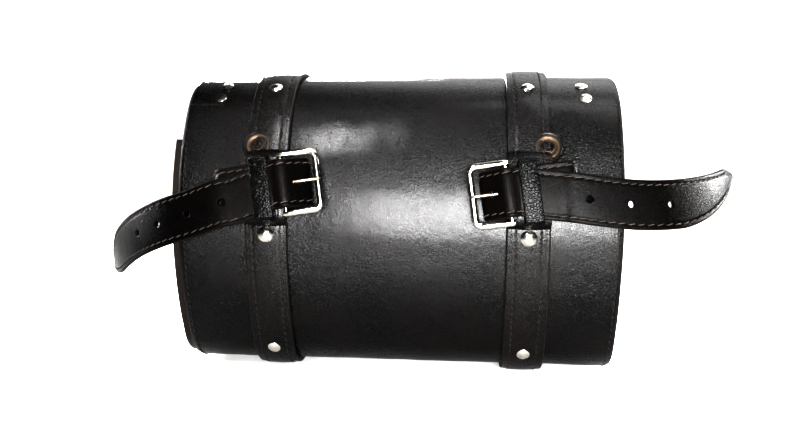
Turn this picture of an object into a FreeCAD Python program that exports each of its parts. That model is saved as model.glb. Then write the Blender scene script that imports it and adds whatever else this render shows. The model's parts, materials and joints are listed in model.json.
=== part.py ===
"""A motorcycle tool saddlebag: a barrel-shaped leather bag with a flap lid, two riveted straps that run right
round it, two closing tabs on the lid's front, and two buckled belts on its back for tying it to a tube.

Row frame, millimetres: X along the bag, -Y out of the back (the mounting side), +Y out of the front, +Z up.
The origin is on the surface that the bag stands on, under the middle of the whole object.

Layout of the file: dimensions, the bag's cross-section, general shapes, then one function for each sub-part.
"""
import FreeCAD, Part
import math
import os

from FreeCAD import Vector

# ---------------------------------------------------------------- driving dimensions

# the bag
HALF_WIDTH = 119.5          # half the length of the leather wrap, along X
HALF_DEPTH = 55.0           # from the middle of the section to its back or front apex
BODY_Y = 2.7                # the section's middle; puts the whole object's middle over the origin
STRAP_CLEAR = 0.2           # gap between leather layers that lie on each other
LOW_STRAP = 2.9             # height of the bag's underside, which stands on its straps
MID_HEIGHT = 86.2           # height of the back and front apex
TOP_HEIGHT = 169.2          # height of the lid's crown
SIDE_RADIUS_UP = 120.0      # back and front curves, above the apex
SIDE_RADIUS_LOW = 160.0     # back and front curves, below the apex
FLAT_HALF = 14.0            # half the flat of the underside, along Y

# leather and liner
WRAP_T = 2.5
LID_T = 2.4
FRONT_INSET = 3.0           # the body's front wall lies this far inside the lid's outer face
LINER_T = 1.5
FLANGE_T = 2.2
END_PLATE_T = 2.4
END_RECESS = 10.0           # the end plates sit this far inside the wrap's ends
HINGE_Z = 137.0             # the crease that the lid turns on, on the back
CREASE_GAP = 0.25           # half the gap between wrap and lid at the crease
WALL_TOP_Z = 122.0          # top edge of the front wall
LID_EDGE_Z = 42.0           # lower edge of the lid, on the front
END_TOP_DROP = 5.1          # the end plates stop this far inside the lid's outer face
LEFT_FLANGE_LIP = 4.5       # the left end's flange stands out past the wrap
RIGHT_FLANGE_LIP = 0.6

# ears, which close the lid's ends
EAR_T = 2.0
EAR_X = (94.0, 118.3)
EAR_REACH = 52.0            # the ear's tab covers this many degrees each side of the crown
EAR_DROP = 54.0             # from the crown to the ear's lower edge

# straps round the bag
STRAP_X = 70.0
STRAP_W = 23.0
STRAP_T = 2.7
STRAP_HINGE_GAP = 7.0       # straps stop this far from the crease, along the section
STRAP_END_Z = 17.0          # front end of the strap that comes up from below
LOOP_LOW_Z = (86.5, 90.5)   # where the strap leaves the bag, to pass over the belt
LOOP_HIGH_Z = (120.5, 125.5)
LOOP_RISE = 3.9             # gap between the bag and the strap there

# rivets: head radius, dome height
RIVET_BIG = (4.5, 2.4)
RIVET_SMALL = (3.8, 1.7)
RIVET_SHANK = 1.5
BURR_R = 3.4
BURR_T = 0.8
BURR_GAP = 0.3              # a flat burr bridges the curve of the leather under it
MID_RIVET_Z = 81.5
LOW_RIVET_Z = 16.5
TOP_RIVET_Z = 158.5
FRONT_RIVET_Z = (148.0, 127.0)
STRAP_END_RIVET_Z = 9.5
EAR_RIVETS = ((101.3, 155.2), (100.0, 162.3))   # x and height, on the back half of the lid

# eyelets
EYELET_X = {"left": 75.5, "right": 79.5}
EYELET_Z = 128.0
EYELET_BORE_R = 2.3
EYELET_BARREL_R = 3.0
EYELET_FLANGE_R = 7.0
EYELET_BACK_R = 5.2
EYELET_PAD_R = 6.4
EYELET_GAP = 0.2
PRESSED_OUT = STRAP_CLEAR + STRAP_T + 0.05      # outer face of a strap that is pinned flat

# belts and buckles
BELT_W = 25.4
BELT_X = 66.5               # the origin of a belt's own frame, a little inboard of its strap
BELT_T = 2.6
BAR_R = 1.3                 # the bar that the strap folds round
WIRE = (1.8, 1.4)           # half width and half thickness of the frame's other bars
FRAME_INNER = 27.4          # inside width of a buckle
FRAME_REACH = 18.4          # from bar to front bar
FRAME_CORNER_R = 3.6
EYE_R = 2.8                 # outside of the leather that wraps the bar
PRONG_R = 0.95
PRONG_SLOT = 3.6
KEEPER_T = 1.4
KEEPER_L = 9.5
KEEPER_SLACK = 0.7
HOLE_R = 1.9

# mounting belts, in their own frame: u outboard from the strap's middle, n out of the bag
BELT_HEIGHT = {"left": 106.0, "right": 105.0}   # where the belt's middle crosses the strap
BELT_SLOPE = {"left": -8.5, "right": 8.0}       # degrees, rising outboard
BAR_U = -7.9
BAR_N = 10.1
UNDER_N = 1.6               # middle of the layer that passes under the strap
OUTER_TURN_U = 23.5
INNER_TURN_R = 3.0
RAMP_DEG = 38.0             # the belt climbs through the buckle at this angle
CREST_DEG = 20.0            # and comes down behind the bar at this one
SETTLE_R = 6.0
BELT_KEEPER_U = -1.6
TAIL_CUT_U = 13.5           # the free tail starts here
TAIL_CUT_GAP = 0.8
TAIL_N = 13.0               # middle of the tail where it leaves the keeper
TAIL_HOLES_U = {"left": (25.0, 45.5, 65.5, 83.5), "right": (31.8, 53.0, 74.2)}
BELT_HOLE_U = {"left": 4.3, "right": 10.4}   # the next hole, under the keeper or close to it
# middle line of each free tail after the cut, in the row frame
TAIL_ROUTE = {
    "right": [(92, -65.0, 105.6), (106, -64.4, 102.4), (122, -62.6, 100.4), (140, -58.0, 100.3),
              (158, -48.0, 101.6), (174, -32.5, 104.0), (187, -13.0, 107.2)],
    "left": [(-92, -65.2, 101.2), (-108, -63.0, 94.0), (-127, -57.8, 86.7), (-145, -47.0, 79.0),
             (-161, -30.5, 69.6), (-175, -10.0, 60.0), (-186, 11.0, 50.5)],
}
TAIL_STATIONS = 15
TAIL_TAPER = 0.80           # share of the route where the point begins
TAIL_TIP_W = 7.0

# closing tabs on the front
TAB_HINGE_Z = 104.0
TAB_BAR_Z = 83.5
TAB_BAR_OUT = 3.3
TAB_FRONT_BAR_OUT = 5.6
TAB_KEEPER_Z = 67.5
TAB_TAIL_TIP_Z = 50.0
TAB_TIP_LENGTH = 13.0
TAB_END_Z = 21.0
TAB_UNDER = 2.0             # gap between the lid and the tab's lower layer
TAB_LAYERS = 0.3            # gap between the tab and the strap end that lies on it
MAGNET_Z = 30.0
MAGNET_R = 5.0
MAGNET_T = 2.6
MAGNET_CAP = (6.2, 2.3)
CATCH_R = 5.6
CATCH_T = 1.4
CATCH_SHANK = 1.4

SIDES = {"left": -1, "right": 1}


# ---------------------------------------------------------------- the cross-section

class Section:
    """A closed convex outline in the YZ plane: tangent arcs and one flat, as a function of its length.

    It starts at the back apex and runs down the back, along the flat, up the front, and over the top. An offset
    is measured outward, so a negative one gives an inner face."""

    def __init__(self, half_depth, middle_y, top):
        self.pieces = []
        low, mid = LOW_STRAP, MID_HEIGHT
        flat = FLAT_HALF
        up, down = SIDE_RADIUS_UP, SIDE_RADIUS_LOW
        drop, rise = mid - low, top - mid
        corner = (down ** 2 - (flat + down - half_depth) ** 2 - drop ** 2) / (2 * (down - drop))
        crown = (up ** 2 - (up - half_depth) ** 2 - rise ** 2) / (2 * (up - rise))
        self.crown_radius = crown
        self.crown_centre = (middle_y, top - crown)
        low_turn = math.atan2(mid - (low + corner), (flat + down - half_depth))
        high_turn = math.atan2(top - crown - mid, up - half_depth)
        half = math.pi

        def arc(dy, z, radius, start, end):
            self.pieces.append(("arc", (middle_y + dy, z), radius, start, end))

        arc(down - half_depth, mid, down, half, half + low_turn)
        arc(-flat, low + corner, corner, half + low_turn, 1.5 * half)
        self.pieces.append(("flat", (middle_y - flat, low), 2 * flat, 1.5 * half, 1.5 * half))
        arc(flat, low + corner, corner, 1.5 * half, 2 * half - low_turn)
        arc(half_depth - down, mid, down, 2 * half - low_turn, 2 * half)
        arc(half_depth - up, mid, up, 2 * half, 2 * half + high_turn)
        arc(0, top - crown, crown, 2 * half + high_turn, 3 * half - high_turn)
        arc(up - half_depth, mid, up, 3 * half - high_turn, 3 * half)
        self.lengths = [p[2] if p[0] == "flat" else p[2] * (p[4] - p[3]) for p in self.pieces]
        self.total = sum(self.lengths)

    def _find(self, s):
        s = s % self.total
        for piece, length in zip(self.pieces, self.lengths):
            if s <= length + 1e-9:
                return piece, s, length
            s -= length
        return self.pieces[-1], self.lengths[-1], self.lengths[-1]

    def at(self, s, out=0.0):
        """(y, z) of the outline at length s, moved outward by out."""
        piece, along, _ = self._find(s)
        kind, (y, z), size, start, _ = piece
        if kind == "flat":
            return y + along, z - out
        angle = start + along / size
        return y + (size + out) * math.cos(angle), z + (size + out) * math.sin(angle)

    def normal(self, s):
        piece, along, _ = self._find(s)
        angle = piece[3] + (0.0 if piece[0] == "flat" else along / piece[2])
        return math.cos(angle), math.sin(angle)

    def at_height(self, z, side):
        """Length at which the outline passes height z on its 'back' or 'front'."""
        spans = {"back": [(0.0, self.low_middle()), (self.total, self.top_middle())],
                 "front": [(self.front_apex(), self.low_middle()),
                           (self.front_apex(), self.top_middle())]}[side]
        start, end = spans[0] if z <= MID_HEIGHT else spans[1]
        for _ in range(60):
            middle = (start + end) / 2
            inside = (self.at(middle)[1] > z) == (z <= MID_HEIGHT)
            start, end = (middle, end) if inside else (start, middle)
        return (start + end) / 2

    def low_middle(self):
        return sum(self.lengths[:2]) + self.lengths[2] / 2

    def front_apex(self):
        return sum(self.lengths[:5])

    def top_middle(self):
        return sum(self.lengths[:6]) + self.lengths[6] / 2

    def edges(self, s0, s1, out):
        """The outline's edges from s0 to s1, which is larger and may pass the outline's start."""
        found, begin = [], s0
        stops = []
        for lap in (-1, 0, 1):
            total = lap * self.total
            for length in self.lengths:
                total += length
                stops.append(total)
        for stop in [x for x in stops if s0 + 1e-6 < x < s1 - 1e-6] + [s1]:
            a, middle, b = (Vector(0, *self.at(s, out)) for s in (begin, (begin + stop) / 2, stop))
            straight = abs((b - a).cross(middle - a).Length) < 1e-6 * (b - a).Length
            found.append((Part.LineSegment(a, b) if straight else Part.Arc(a, middle, b)).toShape())
            begin = stop
        return found

    def face(self, out):
        return Part.Face(Part.Wire(closed(self.edges(0.0, self.total, out))))

    def band(self, s0, s1, out0, out1, x0, x1):
        """A curved sheet between two offsets of the outline, from x0 to x1."""
        inner, outer = self.edges(s0, s1, out0), self.edges(s0, s1, out1)
        return ring_of(inner, outer, x0, x1)


def closed(edges):
    """The edges with a short line that joins the last end to the first."""
    first, last = edges[0].valueAt(edges[0].FirstParameter), edges[-1].valueAt(edges[-1].LastParameter)
    return edges + ([Part.LineSegment(last, first).toShape()] if (last - first).Length > 1e-6 else [])


def ring_of(inner, outer, x0, x1):
    """The solid between two chains of edges that run the same way, extruded from x0 to x1."""
    ends = [[c[0].valueAt(c[0].FirstParameter), c[-1].valueAt(c[-1].LastParameter)] for c in (inner, outer)]
    sides = [Part.LineSegment(ends[0][k], ends[1][k]).toShape() for k in (0, 1)]
    face = Part.Face(Part.Wire(Part.__sortEdges__(inner + outer + sides)))
    face.translate(Vector(x0, 0, 0))
    return face.extrude(Vector(x1 - x0, 0, 0))


LID = Section(HALF_DEPTH, BODY_Y, TOP_HEIGHT)
BODY = Section(HALF_DEPTH - FRONT_INSET / 2, BODY_Y - FRONT_INSET / 2, TOP_HEIGHT)
LINER_IN = -(WRAP_T + 0.1 + LINER_T)


# ---------------------------------------------------------------- general shapes

def save(shape, node):
    if not shape.isValid():
        raise ValueError(node + " is not a valid shape")
    shape.exportStep("parts/" + node + ".step")
    print("%-30s %2d solids %10.1f mm3" % (node, len(shape.Solids), shape.Volume))


def group(shapes):
    return Part.makeCompound(shapes)


def turned(profile):
    """A solid of revolution about +Z from (radius, height) points."""
    points = [Vector(r, 0, z) for r, z in profile]
    return Part.Face(Part.makePolygon(points + points[:1])).revolve(Vector(), Vector(0, 0, 1), 360)


def dome(radius, height, base):
    """A low dome on the height base, with a short upright rim."""
    rim = 0.35
    rise = height - rim
    ball = (radius ** 2 + rise ** 2) / (2 * rise)
    cap = Part.makeSphere(ball, Vector(0, 0, base + height - ball))
    return cap.common(Part.makeCylinder(radius, height, Vector(0, 0, base)))


def stand_on(shape, section, s, x):
    """Moves a shape built along +Z: +Z becomes the section's outward normal at s, z = 0 its surface."""
    y, z = section.at(s)
    ny, nz = section.normal(s)
    return put(shape, Vector(x, y, z), Vector(1, 0, 0), Vector(0, ny, nz))


def put(shape, origin, u, n):
    """Moves a shape so that its X, Y and Z lie along u, n x u and n."""
    moved = shape.copy()
    moved.Placement = placement(origin, u, n).multiply(shape.Placement)
    return moved


def placement(origin, u, n):
    return FreeCAD.Placement(origin, FreeCAD.Rotation(u, n.cross(u), n))


def rivet(size, head_at, burr_at):
    """Head on the outside, shank, and a burr that clenches it inside."""
    radius, height = size
    shank = Part.makeCylinder(RIVET_SHANK, head_at - burr_at + 0.1, Vector(0, 0, burr_at - 0.05))
    burr = Part.makeCylinder(BURR_R, BURR_T, Vector(0, 0, burr_at - BURR_T))
    return dome(radius, height, head_at).fuse([shank, burr]).removeSplitter()


def drill(shape, section, s, x, radius=RIVET_SHANK + 0.1):
    tool = Part.makeCylinder(radius, 30, Vector(0, 0, -15))
    return shape.cut(stand_on(tool, section, s, x))


def press_flat(strap, section, s, x, radius):
    """Trims a strap above the level at which a head of this radius pins it flat."""
    tool = Part.makeCylinder(radius + 0.15, 12, Vector(0, 0, PRESSED_OUT - 0.02))
    return strap.cut(stand_on(tool, section, s, x))


def soft_strip(section, stations, thickness, x, width, end=None):
    """A strap along the section. Stations are (length, gap under the strap); from the last of them the strap
    keeps its gap up to the length end."""
    chains = []
    for extra in (0.0, thickness):
        curve = Part.BSplineCurve()
        curve.interpolate([Vector(0, *section.at(s, gap + extra)) for s, gap in stations])
        last, gap = stations[-1]
        rest = section.edges(last, end, gap + extra) if end else []
        chains.append([curve.toShape()] + rest)
    return ring_of(chains[0], chains[1], x - width / 2, x + width / 2)


def spread(start, end, step):
    count = max(2, int(round(abs(end - start) / step)) + 1)
    return [start + (end - start) * i / (count - 1) for i in range(count)]


def ease(x, start, end):
    t = min(1.0, max(0.0, (x - start) / (end - start)))
    return t * t * (3 - 2 * t)


# ---------------------------------------------------------------- body and lid

def lengths():
    """The named places on the two sections."""
    hinge_lid = LID.at_height(HINGE_Z, "back")
    hinge_body = BODY.at_height(HINGE_Z, "back")
    return {
        "lid_start": LID.at_height(LID_EDGE_Z, "front"),
        "lid_end": hinge_lid - CREASE_GAP,
        "wrap_start": hinge_body + CREASE_GAP - BODY.total,
        "wrap_end": BODY.at_height(WALL_TOP_Z, "front"),
    }


def body_rivets():
    """(section length, x, size) of the rivets that hold the straps to the body."""
    spots = []
    for sign in SIDES.values():
        spots.append((BODY.at_height(MID_RIVET_Z, "back"), sign * STRAP_X, RIVET_BIG))
        spots.append((BODY.at_height(LOW_RIVET_Z, "back"), sign * STRAP_X, RIVET_SMALL))
        spots.append((BODY.at_height(STRAP_END_RIVET_Z, "front"), sign * STRAP_X, RIVET_SMALL))
    return spots


def lid_rivets():
    spots = []
    for sign in SIDES.values():
        spots.append((LID.at_height(TOP_RIVET_Z, "back"), sign * STRAP_X, RIVET_SMALL))
        for z in FRONT_RIVET_Z:
            spots.append((LID.at_height(z, "front"), sign * STRAP_X, RIVET_SMALL))
    return spots


def ear_rivets():
    """Two on the back half and two on the front half of each end."""
    spots = []
    for side in ("back", "front"):
        for x, z in EAR_RIVETS:
            spots.append((LID.at_height(z, side), x))
    return spots


def pierced(shape):
    """Holes for everything that goes through the body's leather and its liner."""
    for s, x, _ in body_rivets():
        shape = drill(shape, BODY, s, x)
    for side, sign in SIDES.items():
        eyelet_s = BODY.at_height(EYELET_Z, "back")
        shape = drill(shape, BODY, eyelet_s, sign * EYELET_X[side], EYELET_BARREL_R + 0.08)
        shape = drill(shape, BODY, BODY.at_height(MAGNET_Z, "front"), sign * STRAP_X)
    return shape


def make_body():
    at = lengths()
    wrap = BODY.band(at["wrap_start"], at["wrap_end"], -WRAP_T, 0.0, -HALF_WIDTH, HALF_WIDTH)
    save(pierced(wrap), "body_wrap")
    start, end = BODY.at_height(HINGE_Z - 5, "back") - BODY.total, BODY.at_height(WALL_TOP_Z - 3, "front")
    reach = HALF_WIDTH - END_RECESS - 0.5
    liner = BODY.band(start, end, LINER_IN, -WRAP_T - 0.1, -reach, reach)
    save(pierced(liner), "stiffener_liner")
    for side, sign in SIDES.items():
        save(end_panel(side, sign), "end_panel_" + side)


def end_panel(side, sign):
    """A recessed plate with a flange that is sewn to the wrap's inside."""
    lip = LEFT_FLANGE_LIP if side == "left" else RIGHT_FLANGE_LIP
    inner = HALF_WIDTH - END_RECESS
    outline = -(WRAP_T + 0.1)
    thick = Vector(END_PLATE_T, 0, 0)
    plate = BODY.face(outline).extrude(thick).common(LID.face(-END_TOP_DROP).extrude(thick))
    plate.translate(Vector(inner, 0, 0))
    start = BODY.at_height(HINGE_Z - 4, "back") - BODY.total
    end = BODY.at_height(WALL_TOP_Z - 3, "front")
    flange = BODY.band(start, end, outline - FLANGE_T, outline, inner, HALF_WIDTH + lip)
    panel = plate.fuse(flange).removeSplitter()
    return panel if sign > 0 else panel.mirror(Vector(), Vector(1, 0, 0))


def make_lid():
    at = lengths()
    lid = LID.band(at["lid_start"], at["lid_end"], -LID_T, 0.0, -HALF_WIDTH, HALF_WIDTH)
    for s, x, _ in lid_rivets():
        lid = drill(lid, LID, s, x)
    for sign in SIDES.values():
        for s, x in ear_rivets():
            lid = drill(lid, LID, s, sign * x)
    save(lid, "lid")
    for side, sign in SIDES.items():
        save(ear(sign), "lid_ear_" + side)
        size = (RIVET_SMALL[0], 1.3)
        rivets = [stand_on(rivet(size, 0.05, -LID_T - EAR_T - BURR_GAP), LID, s, sign * x)
                  for s, x in ear_rivets()]
        save(group(rivets), "ear_rivets_" + side)


def ear(sign):
    """A tab under the lid's end and the round flap that hangs from it."""
    outer, inner = -LID_T - 0.05, -LID_T - 0.05 - EAR_T
    turn = math.radians(EAR_REACH) * LID.crown_radius
    top = LID.top_middle()
    tab = LID.band(top - turn, top + turn, inner, outer, *EAR_X)
    ends = [Vector(0, *LID.at(top + k * turn, outer)) for k in (-1, 1)]
    low = Vector(0, BODY_Y, TOP_HEIGHT - EAR_DROP)
    flap = LID.edges(top - turn, top + turn, outer) + [Part.Arc(ends[1], low, ends[0]).toShape()]
    flap = Part.Face(Part.Wire(flap))
    flap.translate(Vector(EAR_X[1] - EAR_T, 0, 0))
    shape = tab.fuse(flap.extrude(Vector(EAR_T, 0, 0))).removeSplitter()
    for s, x in ear_rivets():
        shape = drill(shape, LID, s, x)
    return shape if sign > 0 else shape.mirror(Vector(), Vector(1, 0, 0))


# ---------------------------------------------------------------- straps, rivets and eyelets

def loop_gap(z):
    """Gap between the bag and the strap at height z on the back: the strap arches over the belt."""
    up, down = ease(z, *LOOP_LOW_Z), ease(z, *LOOP_HIGH_Z)
    return STRAP_CLEAR + (LOOP_RISE - STRAP_CLEAR) * (up - down)


def make_straps():
    at = lengths()
    start = at["wrap_start"] + STRAP_HINGE_GAP
    end = BODY.at_height(STRAP_END_Z, "front")
    arch_end = BODY.at_height(LOOP_LOW_Z[0] - 12.0, "back")
    arch = [(s, loop_gap(BODY.at(s)[1])) for s in spread(start, arch_end, 1.2)]
    for side, sign in SIDES.items():
        x = sign * STRAP_X
        strap = soft_strip(BODY, arch, STRAP_T, x, STRAP_W, end)
        eyelet_s = BODY.at_height(EYELET_Z, "back")
        strap = press_flat(strap, BODY, eyelet_s, sign * EYELET_X[side], EYELET_FLANGE_R)
        pad = Part.makeCylinder(EYELET_PAD_R, STRAP_T, Vector(0, 0, STRAP_CLEAR))
        strap = strap.fuse(stand_on(pad, BODY, eyelet_s, sign * EYELET_X[side]))
        strap = drill(strap, BODY, eyelet_s, sign * EYELET_X[side], EYELET_BARREL_R + 0.08)
        for s, rivet_x, size in body_rivets():
            if rivet_x == x:
                strap = drill(press_flat(strap, BODY, s, x, size[0]), BODY, s, x)
        save(strap.removeSplitter(), "back_strap_" + side)
    start = LID.at_height(TAB_HINGE_Z, "front") + 0.3
    end = at["lid_end"] - STRAP_HINGE_GAP
    for side, sign in SIDES.items():
        x = sign * STRAP_X
        strap = LID.band(start, end, STRAP_CLEAR, STRAP_CLEAR + STRAP_T, x - STRAP_W / 2, x + STRAP_W / 2)
        for s, rivet_x, size in lid_rivets():
            if rivet_x == x:
                strap = drill(press_flat(strap, LID, s, x, size[0]), LID, s, x)
        save(strap, "lid_strap_" + side)


def make_rivets():
    body, lid = {}, {}
    for side, sign in SIDES.items():
        here = [r for r in body_rivets() if r[1] == sign * STRAP_X]
        body[side] = [stand_on(rivet(size, PRESSED_OUT, LINER_IN - BURR_GAP), BODY, s, x)
                      for s, x, size in here]
        here = [r for r in lid_rivets() if r[1] == sign * STRAP_X]
        lid[side] = [stand_on(rivet(size, PRESSED_OUT, -LID_T - BURR_GAP), LID, s, x) for s, x, size in here]
        save(group(body[side]), "body_rivets_" + side)
        save(group(lid[side]), "lid_rivets_" + side)


def eyelet():
    """A rolled brass eyelet: front flange, barrel and the smaller flange that clenches it inside."""
    top, bottom = PRESSED_OUT, LINER_IN - EYELET_GAP
    bore, barrel, flange, back = EYELET_BORE_R, EYELET_BARREL_R, EYELET_FLANGE_R, EYELET_BACK_R
    return turned([
        (bore, bottom - 0.7), (back, bottom - 0.7), (back, bottom), (barrel, bottom), (barrel, top),
        (flange, top), (flange, top + 0.35), (flange - 0.9, top + 0.9), (flange - 2.4, top + 0.9),
        (flange - 2.9, top + 0.45), (barrel + 0.6, top + 0.45), (barrel, top + 1.05), (bore, top + 1.05),
    ])


def make_eyelets():
    for side, sign in SIDES.items():
        s = BODY.at_height(EYELET_Z, "back")
        save(stand_on(eyelet(), BODY, s, sign * EYELET_X[side]), "eyelet_" + side)


# ---------------------------------------------------------------- buckle parts

def path_strip(start, heading, moves, thickness, width):
    """A strap whose middle line is drawn with straight moves (length,) and turns (radius, degrees), in the XZ
    plane, where a positive turn is anticlockwise. It is width wide, centred on Y = 0."""
    here, angle = Vector(start[0], 0, start[1]), math.radians(heading)
    rails = {1: [], -1: []}

    def side_point(point, a, k):
        return point + Vector(-math.sin(a), 0, math.cos(a)) * (k * thickness / 2)

    for move in moves:
        ahead = Vector(math.cos(angle), 0, math.sin(angle))
        if len(move) == 1:
            there, turned_to = here + ahead * move[0], angle
            for k in rails:
                ends = side_point(here, angle, k), side_point(there, angle, k)
                rails[k].append(Part.LineSegment(*ends).toShape())
        else:
            radius, degrees = move
            way = math.copysign(1, degrees)
            centre = here + Vector(-math.sin(angle), 0, math.cos(angle)) * (way * radius)
            turned_to = angle + math.radians(degrees)
            half = (angle + turned_to) / 2

            def on(a):
                return centre - Vector(-math.sin(a), 0, math.cos(a)) * (way * radius)

            there = on(turned_to)
            for k in rails:
                three = [side_point(on(a), a, k) for a in (angle, half, turned_to)]
                rails[k].append(Part.Arc(*three).toShape())
        here, angle = there, turned_to
    ends = [[r[0].valueAt(r[0].FirstParameter), r[-1].valueAt(r[-1].LastParameter)] for r in rails.values()]
    caps = [Part.LineSegment(ends[0][k], ends[1][k]).toShape() for k in (0, 1)]
    face = Part.Face(Part.Wire(Part.__sortEdges__(rails[1] + rails[-1] + caps)))
    face.translate(Vector(0, -width / 2, 0))
    return face.extrude(Vector(0, width, 0))


def belt_moves():
    """The mounting belt from the buckle's bar, round under the bag's strap, up through the buckle and out."""
    ramp, crest = math.radians(RAMP_DEG), math.radians(CREST_DEG)
    over = EYE_R + 0.3 + BELT_T / 2
    crest_start = (BAR_U - over * math.sin(ramp), BAR_N + over * math.cos(ramp))
    rise = crest_start[1] - (UNDER_N + INNER_TURN_R * (1 + math.cos(ramp)))
    inner_turn = crest_start[0] - rise / math.tan(ramp) + INNER_TURN_R * math.sin(ramp)
    crest_end = (BAR_U + over * math.sin(crest), BAR_N + over * math.cos(crest))
    fall = (crest_end[1] - TAIL_N - SETTLE_R * (1 - math.cos(crest))) / math.sin(crest)
    settled = crest_end[0] + fall * math.cos(crest) + SETTLE_R * math.sin(crest)
    outer_r = (BAR_N - UNDER_N) / 2
    return [
        (OUTER_TURN_U - BAR_U,), (outer_r, -180), (OUTER_TURN_U - inner_turn,),
        (INNER_TURN_R, -(180 - RAMP_DEG)), (rise / math.sin(ramp),), (over, -(RAMP_DEG + CREST_DEG)),
        (fall,), (SETTLE_R, CREST_DEG), (TAIL_CUT_U - settled,),
    ]


def prong_tool(bar, front):
    """The room that the prong needs in the belt above it, for the few degrees that it can lift."""
    (bar_u, bar_n), (front_u, front_n) = bar, front
    away = math.copysign(1, front_u - bar_u)
    points = [(bar_u, bar_n + BAR_R - 0.35), (front_u - away * 4.0, front_n + 0.5),
              (front_u - away * 4.0, front_n + 6.0), (bar_u, bar_n + 9.0)]
    face = Part.Face(Part.makePolygon([Vector(u, -1.75, n) for u, n in points + points[:1]]))
    return face.extrude(Vector(0, 3.5, 0))


def tube_y(radius, u, n, width):
    """A cylinder across a belt, centred on its middle."""
    return Part.makeCylinder(radius, width, Vector(u, -width / 2, n), Vector(0, 1, 0))


def buckle_cuts(belt, bar_u, bar_n, front_u, front_n):
    """Takes the bar's hole, the prong's slot and the prong's own way out of a belt."""
    away = math.copysign(1, front_u - bar_u)
    belt = belt.cut(tube_y(BAR_R + 0.12, bar_u, bar_n, BELT_W + 2))
    low = min(bar_u + away * (EYE_R + 0.6), bar_u - away * (EYE_R + 1.2))
    corner = Vector(low, -PRONG_SLOT / 2, bar_n - EYE_R - 0.2)
    slot = Part.makeBox(2 * EYE_R + 1.8, PRONG_SLOT, 2 * EYE_R + 0.3, corner)
    return belt.cut([slot, prong_tool((bar_u, bar_n), (front_u, front_n))])


def buckle_frame(bar_u, bar_n, front_u, front_n):
    """A closed rectangular frame: a thin round bar for the strap, three flattened bars and round corners."""
    reach = math.hypot(front_u - bar_u, front_n - bar_n)
    half_in, half_w = FRAME_INNER / 2, WIRE[0]
    side_y, corner = half_in + half_w, FRAME_CORNER_R
    flat = Part.Ellipse(Vector(), WIRE[0], WIRE[1])
    profile = Part.Face(Part.Wire([flat.toShape()]))

    def bar(start, end):
        way = end - start
        piece = profile.copy()
        across = Vector(0, 0, 1).cross(way).normalize()
        piece.Placement = FreeCAD.Placement(start, FreeCAD.Rotation(across, Vector(0, 0, 1), way.normalize()))
        return piece.extrude(end - start)

    def bend(centre, start, axis_turn):
        """A quarter turn of the profile about a vertical line through centre."""
        piece = profile.copy()
        out = (start - centre).normalize()
        turn = FreeCAD.Rotation(out, Vector(0, 0, 1), out.cross(Vector(0, 0, 1)))
        piece.Placement = FreeCAD.Placement(start, turn)
        return piece.revolve(centre, Vector(0, 0, 1), axis_turn)

    parts = []
    for k in (-1, 1):
        parts.append(bar(Vector(-0.9, k * side_y, 0), Vector(reach - corner, k * side_y, 0)))
        centre = Vector(reach - corner, k * (side_y - corner), 0)
        parts.append(bend(centre, Vector(reach - corner, k * side_y, 0), -90 * k))
        parts.append(Part.makeSphere(WIRE[1] * 1.02, Vector(-0.9, k * side_y, 0)))
    parts.append(bar(Vector(reach, -(side_y - corner), 0), Vector(reach, side_y - corner, 0)))
    parts.append(Part.makeCylinder(BAR_R, 2 * side_y, Vector(0, -side_y, 0), Vector(0, 1, 0)))
    frame = parts[0].fuse(parts[1:])
    u = Vector(front_u - bar_u, 0, front_n - bar_n).normalize()
    return put(frame, Vector(bar_u, 0, bar_n), u, Vector(-u.z, 0, u.x) if u.x > 0 else Vector(u.z, 0, -u.x))


def prong(bar_u, bar_n, front_u, front_n):
    """A round tongue that turns on the bar and rests on the front bar."""
    ring = tube_y(BAR_R + 1.15, bar_u, bar_n, 2.6).cut(tube_y(BAR_R + 0.06, bar_u, bar_n, 4))
    rest = Vector(front_u, 0, front_n + WIRE[1] + PRONG_R + 0.12)
    root = Vector(bar_u, 0, bar_n + BAR_R + 0.65)
    way = (rest - root).normalize()
    tip = rest + way * 1.6
    arm = Part.makeCone(PRONG_R + 0.05, PRONG_R - 0.1, (tip - root).Length, root, way)
    arm = arm.cut(tube_y(BAR_R + 0.06, bar_u, bar_n, 4))
    end = Part.makeSphere(PRONG_R - 0.1, tip)
    return ring.fuse([arm, end]).removeSplitter()


def keeper(u0, low_n, high_n, width):
    """A flat leather loop round two layers of belt."""
    half, t = width / 2 + KEEPER_SLACK, KEEPER_T
    outer = Part.makeBox(KEEPER_L, 2 * (half + t), high_n - low_n + 2 * t, Vector(u0, -half - t, low_n - t))
    outer = outer.makeFillet(1.6, [e for e in outer.Edges if is_along(e, 0)])
    inner = Part.makeBox(KEEPER_L + 2, 2 * half, high_n - low_n, Vector(u0 - 1, -half, low_n))
    return outer.cut(inner.makeFillet(0.6, [e for e in inner.Edges if is_along(e, 0)]))


def is_along(edge, axis):
    way = edge.valueAt(edge.LastParameter) - edge.valueAt(edge.FirstParameter)
    return abs(abs(way[axis]) - way.Length) < 1e-6


# ---------------------------------------------------------------- mounting belts on the back

def belt_frame(side):
    """Origin, outboard direction and outward normal of a mounting belt's own frame."""
    sign = SIDES[side]
    s = BODY.at_height(BELT_HEIGHT[side], "back")
    y, z = BODY.at(s)
    ny, nz = BODY.normal(s)
    slope = math.radians(BELT_SLOPE[side])
    up = Vector(0, nz, -ny)
    u = Vector(sign * math.cos(slope), 0, 0) + up * math.sin(slope)
    return Vector(sign * BELT_X, y, z), u, Vector(0, ny, nz)


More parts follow.
